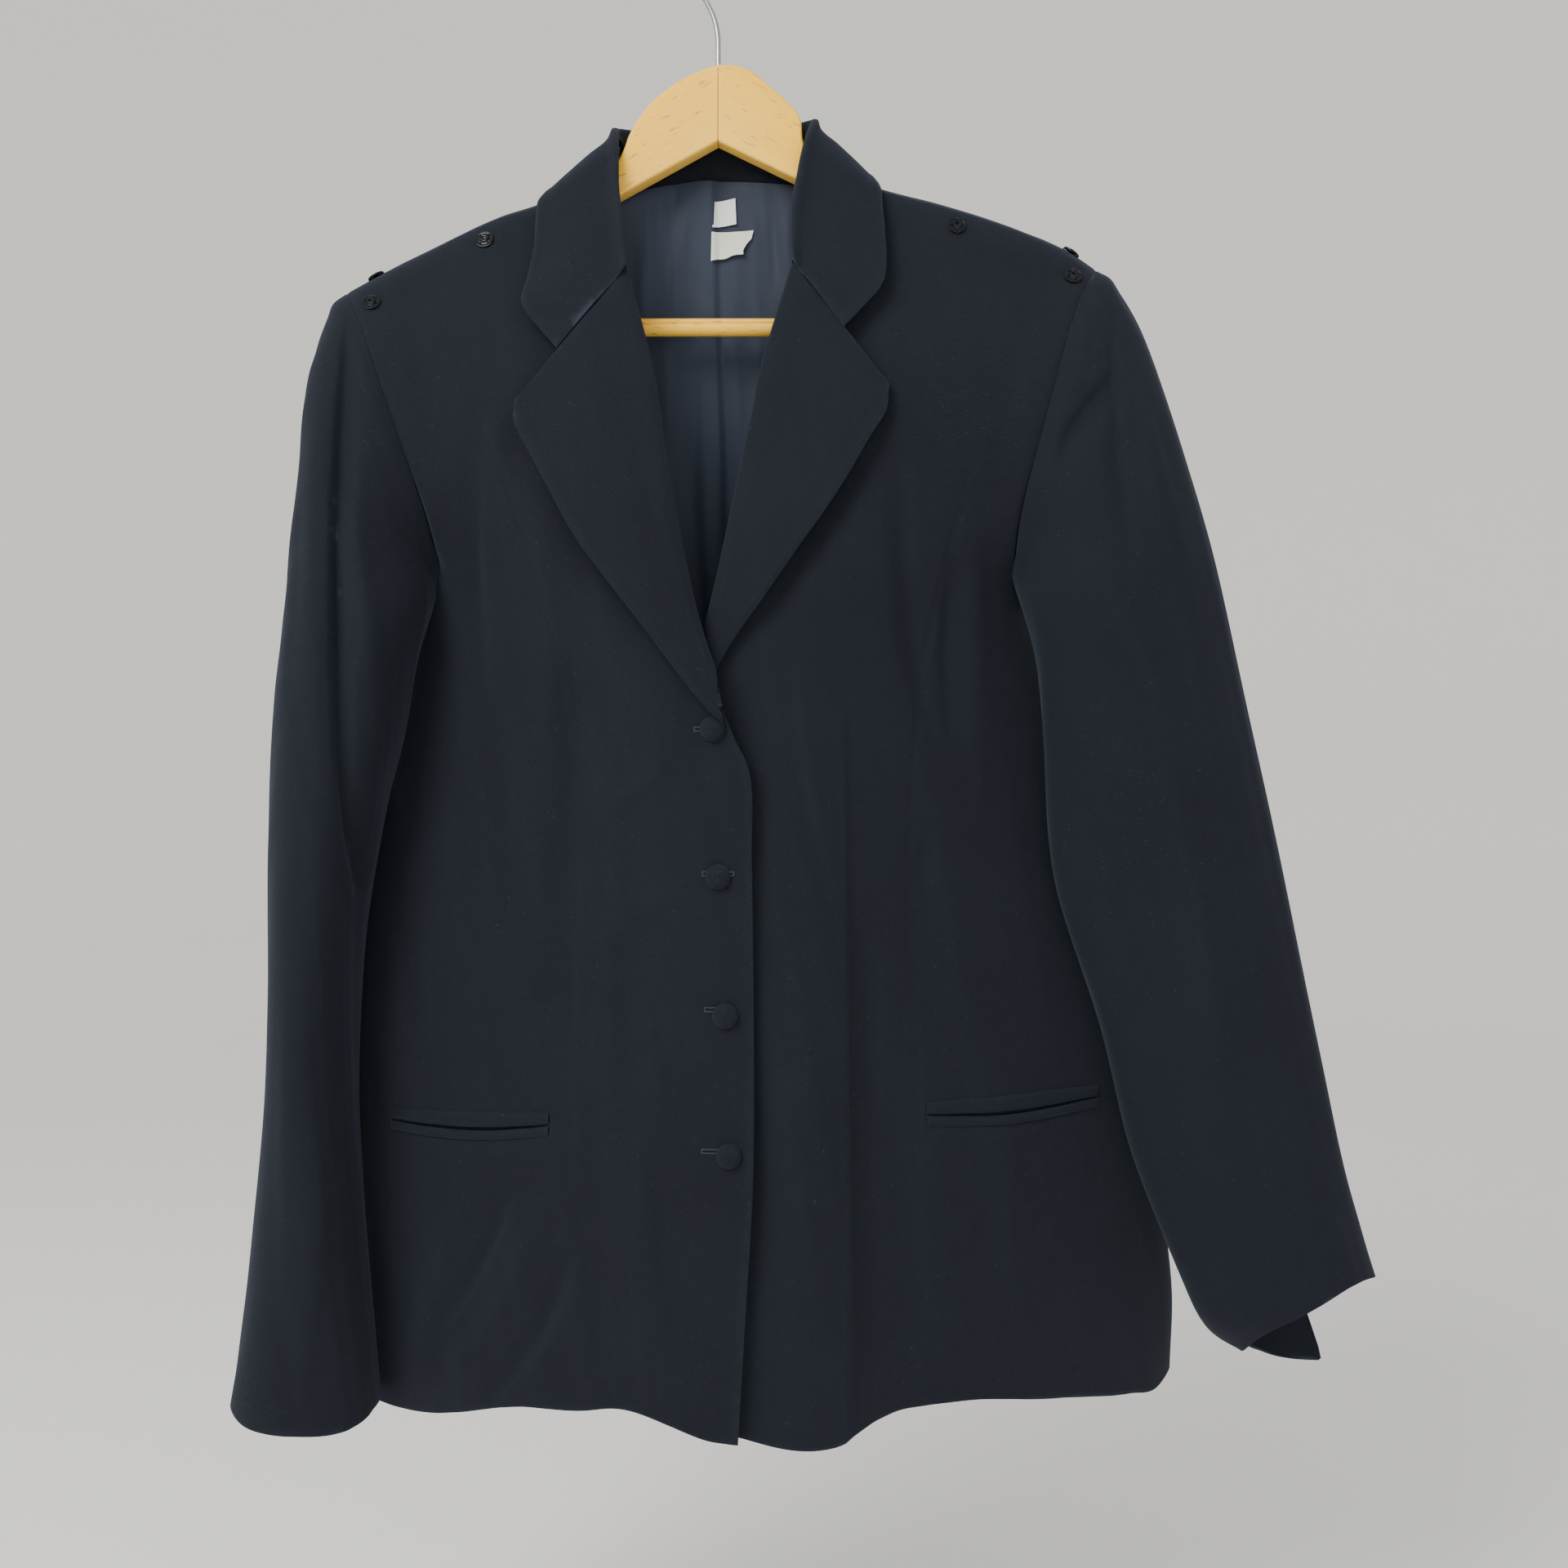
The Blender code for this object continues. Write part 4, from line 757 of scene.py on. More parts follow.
def math_node(tree, operation, first, second=None):
    """A Math node whose inputs are sockets or numbers."""
    node = tree.nodes.new("ShaderNodeMath")
    node.operation = operation
    for k, value in enumerate((first, second)):
        if value is None:
            continue
        if isinstance(value, (int, float)):
            node.inputs[k].default_value = value
        else:
            tree.links.new(value, node.inputs[k])
    return node.outputs[0]


def times(tree, first, second):
    return math_node(tree, "MULTIPLY", first, second)


def plus(tree, first, second):
    return math_node(tree, "ADD", first, second)


def noise_node(tree, vector, scale, detail=2.0):
    """A noise texture read at a vector."""
    node = tree.nodes.new("ShaderNodeTexNoise")
    node.inputs["Scale"].default_value = scale
    node.inputs["Detail"].default_value = detail
    tree.links.new(vector, node.inputs["Vector"])
    return node.outputs["Fac"]


def build_twill():
    """Diagonal ribs crossed by threads, from a UV map in metres."""
    tree, start, end = new_group(
        "twill_weave",
        {"Cloth UV": ("NodeSocketVector", None), "Threads per metre": ("NodeSocketFloat", 1100.0)},
        ("Rib", "Height"))
    split = tree.nodes.new("ShaderNodeSeparateXYZ")
    tree.links.new(start.outputs["Cloth UV"], split.inputs[0])
    pace = times(tree, start.outputs["Threads per metre"], 2 * math.pi)
    u = times(tree, split.outputs["X"], pace)
    v = times(tree, split.outputs["Y"], pace)
    rib = math_node(tree, "SINE", plus(tree, u, v))
    thread = math_node(tree, "SINE", times(tree, v, 2.0))
    rib_share = math_node(tree, "MULTIPLY_ADD", rib, 0.5)
    rib_share.node.inputs[2].default_value = 0.5
    height = plus(tree, rib_share, times(tree, thread, 0.18))
    tree.links.new(rib_share, end.inputs["Rib"])
    tree.links.new(height, end.inputs["Height"])
    return tree


# The noise above which a speck of lint shows: the higher, the fewer specks
LINT_THRESHOLD = 0.745


def build_nap():
    """Slow uneven tone of worn wool, and sparse pale specks of lint."""
    tree, start, end = new_group(
        "wool_nap", {"Place": ("NodeSocketVector", None), "Lint": ("NodeSocketFloat", 0.5)},
        ("Tone", "Fuzz", "Specks"))
    place = start.outputs["Place"]
    slow = noise_node(tree, place, 14.0, 3.0)
    fine = noise_node(tree, place, 420.0, 2.0)
    tone = plus(tree, times(tree, slow, 0.7), times(tree, fine, 0.3))
    speck = noise_node(tree, place, 900.0, 1.0)
    bright = math_node(tree, "GREATER_THAN", speck, LINT_THRESHOLD)
    tree.links.new(tone, end.inputs["Tone"])
    tree.links.new(fine, end.inputs["Fuzz"])
    tree.links.new(times(tree, bright, start.outputs["Lint"]), end.inputs["Specks"])
    return tree


def build_wear():
    """Where an edge or rim is worn, and where a highlight is painted along it: convex places, broken up by
    noise.
    """
    tree, start, end = new_group(
        "edge_wear", {"Place": ("NodeSocketVector", None), "Amount": ("NodeSocketFloat", 1.0)}, ("Mask",))
    shape = tree.nodes.new("ShaderNodeNewGeometry")
    convex = times(tree, math_node(tree, "SUBTRACT", shape.outputs["Pointiness"], 0.5), 9.0)
    broken = times(tree, convex, noise_node(tree, start.outputs["Place"], 160.0, 3.0))
    held = tree.nodes.new("ShaderNodeClamp")
    tree.links.new(times(tree, broken, start.outputs["Amount"]), held.inputs[0])
    tree.links.new(held.outputs[0], end.inputs["Mask"])
    return tree


TWILL, NAP, EDGE_WEAR_AND_HIGHLIGHT = build_twill(), build_nap(), build_wear()
print("shader groups:", TWILL.name, NAP.name, EDGE_WEAR_AND_HIGHLIGHT.name)

# %% Material helpers
def new_material(name, roughness, metallic=0.0, specular=0.5):
    """A material with its shader, its links and its texture coordinates at hand."""
    made = bpy.data.materials.new(name)
    made.use_nodes = True
    tree = made.node_tree
    shader = tree.nodes["Principled BSDF"]
    shader.inputs["Roughness"].default_value = roughness
    shader.inputs["Metallic"].default_value = metallic
    shader.inputs["Specular IOR Level"].default_value = specular
    return made, tree, shader, tree.nodes.new("ShaderNodeTexCoord")


def use_group(tree, group, values, vector=None):
    """A group node in a material, its values set and its first input linked."""
    node = tree.nodes.new("ShaderNodeGroup")
    node.node_tree = group
    for name, value in values.items():
        node.inputs[name].default_value = value
    if vector is not None:
        tree.links.new(vector, node.inputs[0])
    return node


def mix_colours(tree, share, first, second):
    """One colour to another by a share, which is a socket; each is a socket or a colour."""
    node = tree.nodes.new("ShaderNodeMix")
    node.data_type = "RGBA"
    for socket, value in ((node.inputs[6], first), (node.inputs[7], second)):
        if isinstance(value, tuple):
            socket.default_value = (*value, 1)
        else:
            tree.links.new(value, socket)
    tree.links.new(share, node.inputs[0])
    return node.outputs[2]


def bump(tree, shader, height, strength, distance):
    node = tree.nodes.new("ShaderNodeBump")
    node.inputs["Strength"].default_value = strength
    node.inputs["Distance"].default_value = distance
    tree.links.new(height, node.inputs["Height"])
    tree.links.new(node.outputs[0], shader.inputs["Normal"])


# Convex edges of the wool are painted this much paler than its light tone: partly worn, pilled edges, partly a
# painted highlight along the turned edges
RUBBED_AND_HIGHLIT_PALER, LINT_COLOUR = 2.4, (0.11, 0.115, 0.125)


def wool(name, dark, light, lint=0.25):
    """Navy wool twill: two tones of nap, a fine rib, lint, and a soft sheen at grazing light."""
    made, tree, shader, where = new_material(name, 0.86, specular=0.1)
    nap = use_group(tree, NAP, {"Lint": lint}, where.outputs["Object"])
    twill = use_group(tree, TWILL, {"Threads per metre": 900.0}, where.outputs["UV"])
    base = mix_colours(tree, nap.outputs["Tone"], dark, light)
    ribbed = mix_colours(tree, times(tree, twill.outputs["Rib"], 0.22), base, dark)
    # Paler edges: a painted highlight along the turned edges, as well as worn, pilled wool
    wear_and_highlight = use_group(tree, EDGE_WEAR_AND_HIGHLIGHT, {"Amount": 0.9}, where.outputs["Object"])
    rubbed_and_highlit = mix_colours(tree, wear_and_highlight.outputs["Mask"], ribbed, tuple(RUBBED_AND_HIGHLIT_PALER * c for c in light))
    pale = mix_colours(tree, nap.outputs["Specks"], rubbed_and_highlit, LINT_COLOUR)
    tree.links.new(pale, shader.inputs["Base Color"])
    height = plus(tree, times(tree, twill.outputs["Height"], 0.6), times(tree, nap.outputs["Fuzz"], 0.8))
    bump(tree, shader, height, 0.35, 0.0004)
    shader.inputs["Sheen Weight"].default_value = 0.07
    shader.inputs["Sheen Roughness"].default_value = 0.5
    shader.inputs["Sheen Tint"].default_value = (0.62, 0.74, 1.0, 1)
    return made


NAVY = wool("navy_wool", (0.0062, 0.0076, 0.0114), (0.0100, 0.0122, 0.0178))
print("cloth material:", NAVY.name)

# %% [markdown]
# ## Fronts, back and sleeves
# Each panel's points are moved along their own normals by its creases. A seam is a shallow groove:
# both sheets dip as they meet. The princess seams down the fronts are grooves inside a panel.

# %% Creases of the fronts
FRONT_CREASES = {
    "right": table(CREASE_COLUMNS, [
        (-118, -690, -157, -762, -4, 5, -3.4, 0.35),
        (-84, -720, -127, -796, -6, 5.5, -3.4, 0.35),
        (-104, -700, -146, -780, -5, 8, 2.2, 0),
        (-108, -290, -38, -398, -6, 15, -5.0, 0),
        (-104, -258, -112, -300, 0, 13, -3.0, 0),
        (-150, -700, -170, -790, 3, 7, 1.6, 0),
        (-132, -262, -134, -420, 5, 7, -2.2, 0.35),
        (-104, -330, -100, -440, -5, 9, 1.8, 0.2),
        (-136, -430, -120, -560, -5, 8, -2.4, -0.3),
        (-80, -420, -88, -640, 4, 11, -2.6, 0.2),
        (-58, -440, -62, -640, 2, 10, 2.2, 0.2),
        (-30, -455, -60, -480, 0, 6, 1.2, 0.2),
        (-24, -520, -60, -545, 0, 7, 1.0, 0.2),
        (-40, -600, -44, -790, 3, 9, 1.6, -0.2),
        (-70, -640, -66, -780, 0, 8, -1.4, 0.2),
        (-186, -560, -178, -640, 2, 8, 1.8, 0.2),
        (-160, -300, -176, -420, 4, 8, 1.8, 0)]),
    "left": table(CREASE_COLUMNS, [
        (80, -284, 22, -372, 6, 15, -4.0, 0),
        (95, -292, 108, -430, 4, 6, -2.6, 0.3),
        (122, -348, 123, -440, 2, 5.5, -2.4, -0.3),
        (136, -330, 138, -470, 0, 8, 2.0, 0.2),
        (30, -405, 52, -530, 4, 6, -1.8, 0.3),
        (62, -436, 64, -860, 0, 9, 3.4, 0.75),
        (77, -540, 80, -860, 2, 8, -3.4, 0.3),
        (110, -494, 104, -530, 0, 5, -1.0, 0.2),
        (150, -660, 160, -800, 3, 9, 1.4, 0.2),
        (196, -560, 214, -700, 3, 8, 1.8, 0),
        (20, -620, 24, -800, 3, 7, -1.2, 0.2)]),
}
PRINCESS_SEAM = {
    "right": table("z x", [
        (-700, -86), (-600, -84), (-500, -82), (-400, -92), (-330, -112), (-270, -138), (-240, -160)]),
    "left": table("z x", [
        (-700, 103), (-600, 101), (-500, 99), (-400, 108), (-330, 124), (-270, 143), (-240, 160)]),
}


def seam_groove(distance, depth, width):
    """How far cloth dips at a distance from a seam."""
    return -depth * bell(distance, width)


def pressed_edge(distance, height=0.45, place=3.2):
    """The low ridge of the turned-in cloth along a pressed edge."""
    return height * bell(distance - place, 2.2)


def quiet_near(distance, reach=14):
    """Creases die away near a seam or an edge."""
    return fade(distance, reach)


def mouth_line(side, share, sag):
    """The pocket mouth from its right end to its left end; its edges hang down in the middle."""
    start, end = sorted(POCKET[side])
    return (start[0] + (end[0] - start[0]) * share,
            start[1] + (end[1] - start[1]) * share - sag * np.sin(np.pi * share))


def mouth_hollow(side, x, z):
    """How far the cloth behind the pocket mouth lies back."""
    start, end = sorted(POCKET[side])
    share = np.clip((x - start[0]) / (end[0] - start[0]), 0, 1)
    mouth = mouth_line(side, share, (MOUTH_SAG["upper"] + MOUTH_SAG["lower"]) / 2)[1]
    return -MOUTH_DEPTH * np.sin(np.pi * share) ** 0.4 * bell(z - mouth, MOUTH_REACH)


def dress_front(side, hollow=1):
    """A front with its creases, its princess seam and the hollow behind its pocket mouth."""
    points = fronts_drawn[side]
    x, z = points[..., 0], points[..., 2]
    normals = grid_normals(points) * -SIGN[side]
    from_side = arc_lengths(points, 0)
    to_top = arc_lengths(points[:, ::-1], 1)[:, ::-1]
    from_free = from_side[-1] - from_side
    quiet = quiet_near(from_side) * quiet_near(to_top) * np.clip(0.35 + from_free / 30, 0, 1)
    moved = crease_heights(x, z, FRONT_CREASES[side]) * quiet
    moved += ripple(x, z, 0.42, 3 if side == "left" else 5) * quiet
    seam = PRINCESS_SEAM[side]
    line = read(seam, "z", "x", np.clip(z, seam["z"][0], seam["z"][-1]))
    reach = fade(z - seam["z"][0], 30) * fade(seam["z"][-1] - z, 90)
    moved += (seam_groove(x - line, 0.45, 1.8) + 0.15 * bell(x - line - 4, 3.5)) * reach
    moved += seam_groove(from_side, 0.4, 2.0) + seam_groove(to_top, 0.2, 2.2)
    moved += pressed_edge(from_free, place=3) + hollow * mouth_hollow(side, x, z)
    return points + normals * moved[..., None]


fronts_dressed = {side: dress_front(side) for side in SIDES}
for side in SIDES:
    cloth_piece(f"cloth_front_{side}", f"front_{side}", fronts_dressed[side], NAVY,
                inward=-SIGN[side])

# %% Back
BACK_CREASES = table(CREASE_COLUMNS, [
    (-150, -230, -70, -290, 8, 8, -1.8, 0.3),
    (140, -225, 66, -285, -8, 8, -1.8, 0.3),
    (-96, -430, -104, -640, 5, 7, -1.6, 0.3),
    (108, -430, 118, -640, -5, 7, -1.6, 0.3),
    (-40, -560, -46, -790, 3, 8, 1.6, 0.2),
    (48, -560, 56, -790, -3, 8, 1.6, 0.2),
    (-170, -600, -176, -790, 3, 8, 1.6, 0),
    (176, -600, 190, -780, 3, 8, 1.6, 0)])


def dress_back():
    """The back with its creases, and the grooves of its middle seam and its side seams."""
    points = back_drawn
    x, z = points[..., 0], points[..., 2]
    normals = -grid_normals(points)
    across = arc_lengths(points, 0)
    from_seam = np.minimum(across, across[-1] - across)
    to_top = arc_lengths(points[:, ::-1], 1)[:, ::-1]
    quiet = quiet_near(from_seam) * quiet_near(to_top, 60)
    moved = (crease_heights(x, z, BACK_CREASES) + ripple(x, z, 0.45, 7)) * quiet
    shares = np.clip((z - BACK_MIDDLE["z"][0]) / (BACK_MIDDLE["z"][-1] - BACK_MIDDLE["z"][0]), 0, 1)
    middle = along(BACK_MIDDLE["share"], BACK_MIDDLE["x"], shares)
    moved += seam_groove(x - middle, 0.8, 1.8) + seam_groove(from_seam, 0.5, 1.8)
    return points + normals * moved[..., None]


back_dressed = dress_back()
cloth_piece("cloth_back", "back", back_dressed, NAVY, cells=back_cells, inward=-1)

# %% Sleeves
SLEEVE_ROUND, SLEEVE_ALONG = 170, 150
SLEEVE_CREASES = {
    "right": {
        "front": table(CREASE_COLUMNS, [
            (-209, -212, -193, -562, 7, 4.6, -7.4, -0.5),
            (-220, -225, -208, -540, 6, 7, 2.0, 0),
            (-232, -240, -236, -420, 2, 6, 1.6, 0.2),
            (-200, -300, -190, -400, 3, 6, 1.6, 0.3),
            (-236, -560, -240, -760, 3, 8, -1.6, 0.2),
            (-216, -640, -226, -790, -3, 7, 1.6, 0.2)]),
        "back": table(CREASE_COLUMNS, [
            (-214, -230, -216, -420, 4, 7, -2.0, 0.3),
            (-226, -420, -222, -560, -4, 8, -1.8, 0.3),
            (-236, -600, -232, -780, 3, 8, 1.5, 0.2)])},
    "left": {
        "front": table(CREASE_COLUMNS, [
            (212, -200, 217, -345, 3, 6, -4.2, 0.45),
            (226, -210, 232, -345, 2, 8, 1.8, 0),
            (180, -292, 211, -246, -3, 5, -2.0, 0.4),
            (196, -330, 232, -420, 4, 8, 1.4, 0.2),
            (236, -470, 262, -640, -4, 9, 1.8, 0.3),
            (300, -560, 326, -690, 3, 8, -1.4, 0.2),
            (208, -500, 232, -600, 3, 7, -1.3, 0.2)]),
        "back": table(CREASE_COLUMNS, [
            (214, -220, 224, -380, 4, 7, -1.8, 0.3),
            (246, -420, 280, -600, -4, 9, -1.8, 0.3)])},
}

# Under the arm the front of the sleeve rolls towards the body and hides the side seam
UNDERARM_ROLL = {"z": -366, "reach": 26, "turn": math.radians(35), "move": 7.5}


def dress_sleeve(side):
    """A sleeve with its creases, the roll under the arm and the fullness at the top of its seam."""
    angles = np.linspace(0, 2 * math.pi, SLEEVE_ROUND, endpoint=False)[:, None]
    stations = np.linspace(0, len(SLEEVE[side]["outer_x"]) - 1, SLEEVE_ALONG + 1)[None, :]
    rings = sleeve_ring(side, stations, angles)
    middle = rings.mean(axis=0, keepdims=True)
    facing = np.clip(np.sin(angles), 0, 1)
    raised = fold_heights(rings[..., 0], rings[..., 2], SLEEVE_FOLDS[side]) * facing
    raised *= np.clip(stations * 4, 0, 1)
    rings = rings + unit(rings - middle) * raised[..., None]
    rings[:, 0] += armhole_across(side) * SEAM_GAP / 2
    normals = grid_normals(rings, closed=True) * SIGN[side]
    x, z = rings[..., 0], rings[..., 2]
    from_armhole = arc_lengths(rings, 1)
    front = np.clip(np.sin(angles) * 2.5, 0, 1)
    behind = np.clip(-np.sin(angles) * 2.5, 0, 1)
    quiet = quiet_near(from_armhole, 16)
    moved = crease_heights(x, z, SLEEVE_CREASES[side]["front"]) * front
    moved += crease_heights(x, z, SLEEVE_CREASES[side]["back"]) * behind
    moved += ripple(x + rings[..., 1] * 1.5, z, 0.4, 11 if side == "left" else 13)
    moved *= quiet
    under = bell(z - UNDERARM_ROLL["z"], UNDERARM_ROLL["reach"])
    turned = np.clip(np.sin(angles - UNDERARM_ROLL["turn"]), 0, 1) * np.clip(-np.cos(angles), 0, 1)
    rings[..., 0] -= SIGN[side] * UNDERARM_ROLL["move"] * under * turned * fade(from_armhole, 4)
    on_top = np.clip(np.cos(angles) * 0.5 + 0.62, 0, 1)
    moved += 1.5 * bell(from_armhole - 8, 6) * on_top + seam_groove(from_armhole, 0.25, 2.2)
    return rings + normals * moved[..., None]


for side in SIDES:
    cloth_piece(f"cloth_sleeve_{side}", f"sleeve_{side}", dress_sleeve(side), NAVY, closed=True,
                inward=SIGN[side])

# %% Lapels
LAPEL_ACROSS, LAPEL_UP = 44, 90
ROLL_RADIUS, GORGE_LAP = 2.6, 1.1


def finer(grid, across, up):
    """More points on the smooth surface through a coarse grid, spaced by distance."""
    for count in (across, up):
        steps = np.linalg.norm(np.diff(grid, axis=0), axis=-1).mean(axis=1)
        keys = np.concatenate([[0], np.cumsum(steps)])
        grid = along(keys, grid, np.linspace(0, keys[-1], count + 1)).swapaxes(0, 1)
    return grid


def dress_lapel(side):
    """The lapel turns round the front's edge at the roll line and lies back on the front."""
    rows = LAPEL[side]
    at = np.linspace(0, len(rows["roll_x"]) - 1, 25)
    row = {name: along(np.arange(len(rows[name])), rows[name], at) for name in LAPEL_COLUMNS.split()}
    roll = np.stack([row["roll_x"], -row["roll_depth"], row["roll_z"]], axis=-1)
    edge = np.stack([row["edge_x"], -row["edge_depth"], row["edge_z"]], axis=-1)
    width = np.linalg.norm(edge - roll, axis=-1, keepdims=True)
    out = (edge - roll) / width
    back = np.array([0.0, 1.0, 0.0])
    radius = np.minimum(ROLL_RADIUS, 0.3 * width)
    columns = [roll + back * 1.3 * radius, roll + back * radius * 0.5, roll + out * radius * 0.8]
    for share in (0.3, 0.55, 0.8, 1.0):
        lift = 2.0 * math.sin(math.pi * share)
        columns.append(roll + (edge - roll) * share - back * lift * np.minimum(1, width / 40))
    points = finer(np.stack(columns, axis=0), LAPEL_ACROSS, LAPEL_UP)
    points[:, -1] += unit(points[:, -1] - points[:, -2]) * GORGE_LAP
    normals = grid_normals(points) * SIGN[side]
    across = arc_lengths(points, 0)
    from_edge = across[-1] - across
    moved = pressed_edge(from_edge) + ripple(points[..., 0], points[..., 2], 0.3, 17) * fade(across, 20)
    return points + normals * moved[..., None]


for side in SIDES:
    cloth_piece(f"cloth_lapel_{side}", f"lapel_{side}", dress_lapel(side), NAVY,
                inward=SIGN[side])

# %% Collar
def dress_collar():
    """The collar from gorge to gorge: its leaf outside, its fold, and its stand inside."""
    right = {name: COLLAR["right"][name] for name in COLLAR_COLUMNS.split()}
    ribs = {name: np.concatenate([right[name], COLLAR["left"][name][-2::-1]]) for name in right}
    leaf, fold, foot = (
        np.stack([ribs[f"{part}_{axis}"] for axis in "xyz"], axis=-1) for part in ("leaf", "fold", "foot"))
    path = unit(np.gradient(fold, axis=0))
    down = unit(leaf - fold)
    out = unit(np.cross(path, down))
    columns = [leaf + (fold - leaf) * share + out * 1.5 * math.sin(math.pi * share)
               for share in (0, 0.3, 0.6, 0.85)]
    columns += [fold + down * 1.5 + out * ROLL_RADIUS * 0.9, fold, fold + down * 2.4 - out * ROLL_RADIUS]
    columns += [(columns[-1] + foot) / 2, foot]
    points = finer(np.stack(columns, axis=0), 40, 150)
    normals = grid_normals(points)
    across, down_line = arc_lengths(points, 0), arc_lengths(points, 1)
    from_end = np.minimum(down_line, down_line[:, -1:] - down_line)
    moved = pressed_edge(across) + pressed_edge(from_end, 0.3)
    return points + normals * moved[..., None]


cloth_piece("cloth_collar", "collar", dress_collar(), NAVY, inward=1)

# %% [markdown]
# ## Lining and labels
# Slate-blue satin lines the back. It is lighter than the wool, hangs in soft upright folds from
# the neck seam, and has one pleat down its middle to let the back move. Its sheet is the
# back's own form, moved inwards. Two plain tapes are sewn on it, the lower one torn off aslant.

# %% Satin and tape
def satin(name):
    made, tree, shader, where = new_material(name, 0.5, specular=0.16)
    stretched = tree.nodes.new("ShaderNodeMapping")
    stretched.inputs["Scale"].default_value = (6.0, 6.0, 0.7)
    tree.links.new(where.outputs["Object"], stretched.inputs["Vector"])
    streak = noise_node(tree, stretched.outputs[0], 16.0, 3.0)
    colour = mix_colours(tree, streak, (0.019, 0.025, 0.042), (0.031, 0.041, 0.064))
    tree.links.new(colour, shader.inputs["Base Color"])
    twill = use_group(tree, TWILL, {"Threads per metre": 2200.0}, where.outputs["UV"])
    bump(tree, shader, twill.outputs["Height"], 0.12, 0.0002)
    shader.inputs["Sheen Weight"].default_value = 0.1
    shader.inputs["Anisotropic"].default_value = 0.4
    return made


def tape(name, colour):
    made, tree, shader, where = new_material(name, 0.8, specular=0.3)
    nap = use_group(tree, NAP, {"Lint": 0.0}, where.outputs["Object"])
    faded = tuple(0.82 * c for c in colour)
    tree.links.new(mix_colours(tree, nap.outputs["Tone"], colour, faded), shader.inputs["Base Color"])
    twill = use_group(tree, TWILL, {"Threads per metre": 2600.0}, where.outputs["UV"])
    bump(tree, shader, twill.outputs["Height"], 0.2, 0.0002)
    return made


SATIN = satin("slate_satin")
TAPE, OLD_TAPE = tape("white_tape", (0.80, 0.82, 0.80)), tape("torn_tape", (0.74, 0.76, 0.66))

# %% Lining
LINING_BEHIND, LINING_WALL = 3.0, 0.7
LINING_MARGIN, LINING_START = 32, 6
LINING_CREASES = table(CREASE_COLUMNS, [
    (-1, -290, 8, -560, 0, 6, -1.6, 0.2),
    (2, -128, 7, -290, 1, 6, 0.9, -0.1),
    (-30, -128, -35, -190, 2, 3, -1.5, 0.3),
    (-46, -132, -52, -200, -2, 4, 1.4, 0.2),
    (-21, -140, -27, -170, 2, 2.4, 1.0, 0.4),
    (22, -130, 25, -185, -2, 3.5, -1.5, 0.3),
    (34, -135, 38, -200, 2, 4, 1.3, 0.2),
    (14, -140, 18, -168, 1, 2.4, 1.0, 0.3),
    (-36, -215, -30, -420, 3, 7, 1.8, 0.3),
    (-20, -215, -16, -380, 2, 5, -1.4, 0.3),
    (16, -215, 12, -380, -2, 5, 1.6, 0.3),
    (60, -200, 52, -500, 3, 8, 1.6, 0.3),
    (-80, -220, -70, -520, 3, 8, 1.6, 0.3)])

# The pleat down the middle: its right side laps over its left side by a small step
PLEAT = table("z x", [(-800, 14), (-560, 4), (-400, -2), (-300, -4), (-220, -6.5), (-122, -9)])
PLEAT_STEP, PLEAT_REACH = 2.2, 22


def dress_lining():
    """The middle of the back's own form, moved inwards, with its folds and its pleat."""
    drawn = back_drawn[LINING_MARGIN:-LINING_MARGIN, LINING_START:BACK_UP + 1]
    facing = np.maximum(np.abs(grid_normals(drawn)[..., 1:2]), 0.3)
    points = drawn - np.array([0, 1.0, 0]) * (2.0 / facing + LINING_BEHIND)
    x, z = points[..., 0], points[..., 2]
    across = arc_lengths(points, 0)
    quiet = quiet_near(np.minimum(across, across[-1] - across), 12)
    down = arc_lengths(points[:, ::-1], 1)[:, ::-1]
    raised = crease_heights(x, z, LINING_CREASES) + ripple(x * 1.6, z, 0.5, 23)
    raised += pressed_edge(down, 1.1, 3)
    aside = x - along(PLEAT["z"], PLEAT["x"], z)
    raised += PLEAT_STEP * (0.5 - 0.5 * np.tanh(aside / 0.8)) * bell(aside, PLEAT_REACH)
    return points + grid_normals(points) * (raised * quiet)[..., None]


lining_dressed = dress_lining()
cloth_piece("cloth_back_lining", "back_lining", lining_dressed, SATIN, wall=LINING_WALL,
            rounding=0.2)

# %% Finding a surface
def tree_through(points):
    """A search tree over a grid of points, in millimetres."""
    nu, nv = points.shape[:2]
    quads = [[u * nv + v, (u + 1) * nv + v, (u + 1) * nv + v + 1, u * nv + v + 1]
             for u in range(nu - 1) for v in range(nv - 1)]
    return BVHTree.FromPolygons(points.reshape(-1, 3).tolist(), quads)


def on_surface(tree, x, z):
    """The place straight behind a point of the front view, and the way the surface looks there."""
    place, normal, _, _ = tree.ray_cast(Vector((x, -300, z)), Vector((0, 1, 0)))
    return np.array(place), np.array(-normal if normal.y > 0 else normal)


front_trees = {side: tree_through(fronts_dressed[side]) for side in SIDES}
lining_tree = tree_through(lining_dressed)
print("the lining lies", round(on_surface(lining_tree, 0, -150)[0][1], 1), "mm behind the hanger at the neck")

# %% Labels
LABELS = {
    "upper": {"corners": ((-9, -136), (3.2, -133.5), (-9.8, -150.5), (3.8, -148.3)), "curl": 0.5, "torn": 0},
    "lower": {"corners": ((-10.4, -153), (14, -151.8), (-10.8, -169.5), (7.4, -165)), "curl": 1.6, "torn": 0.8},
}


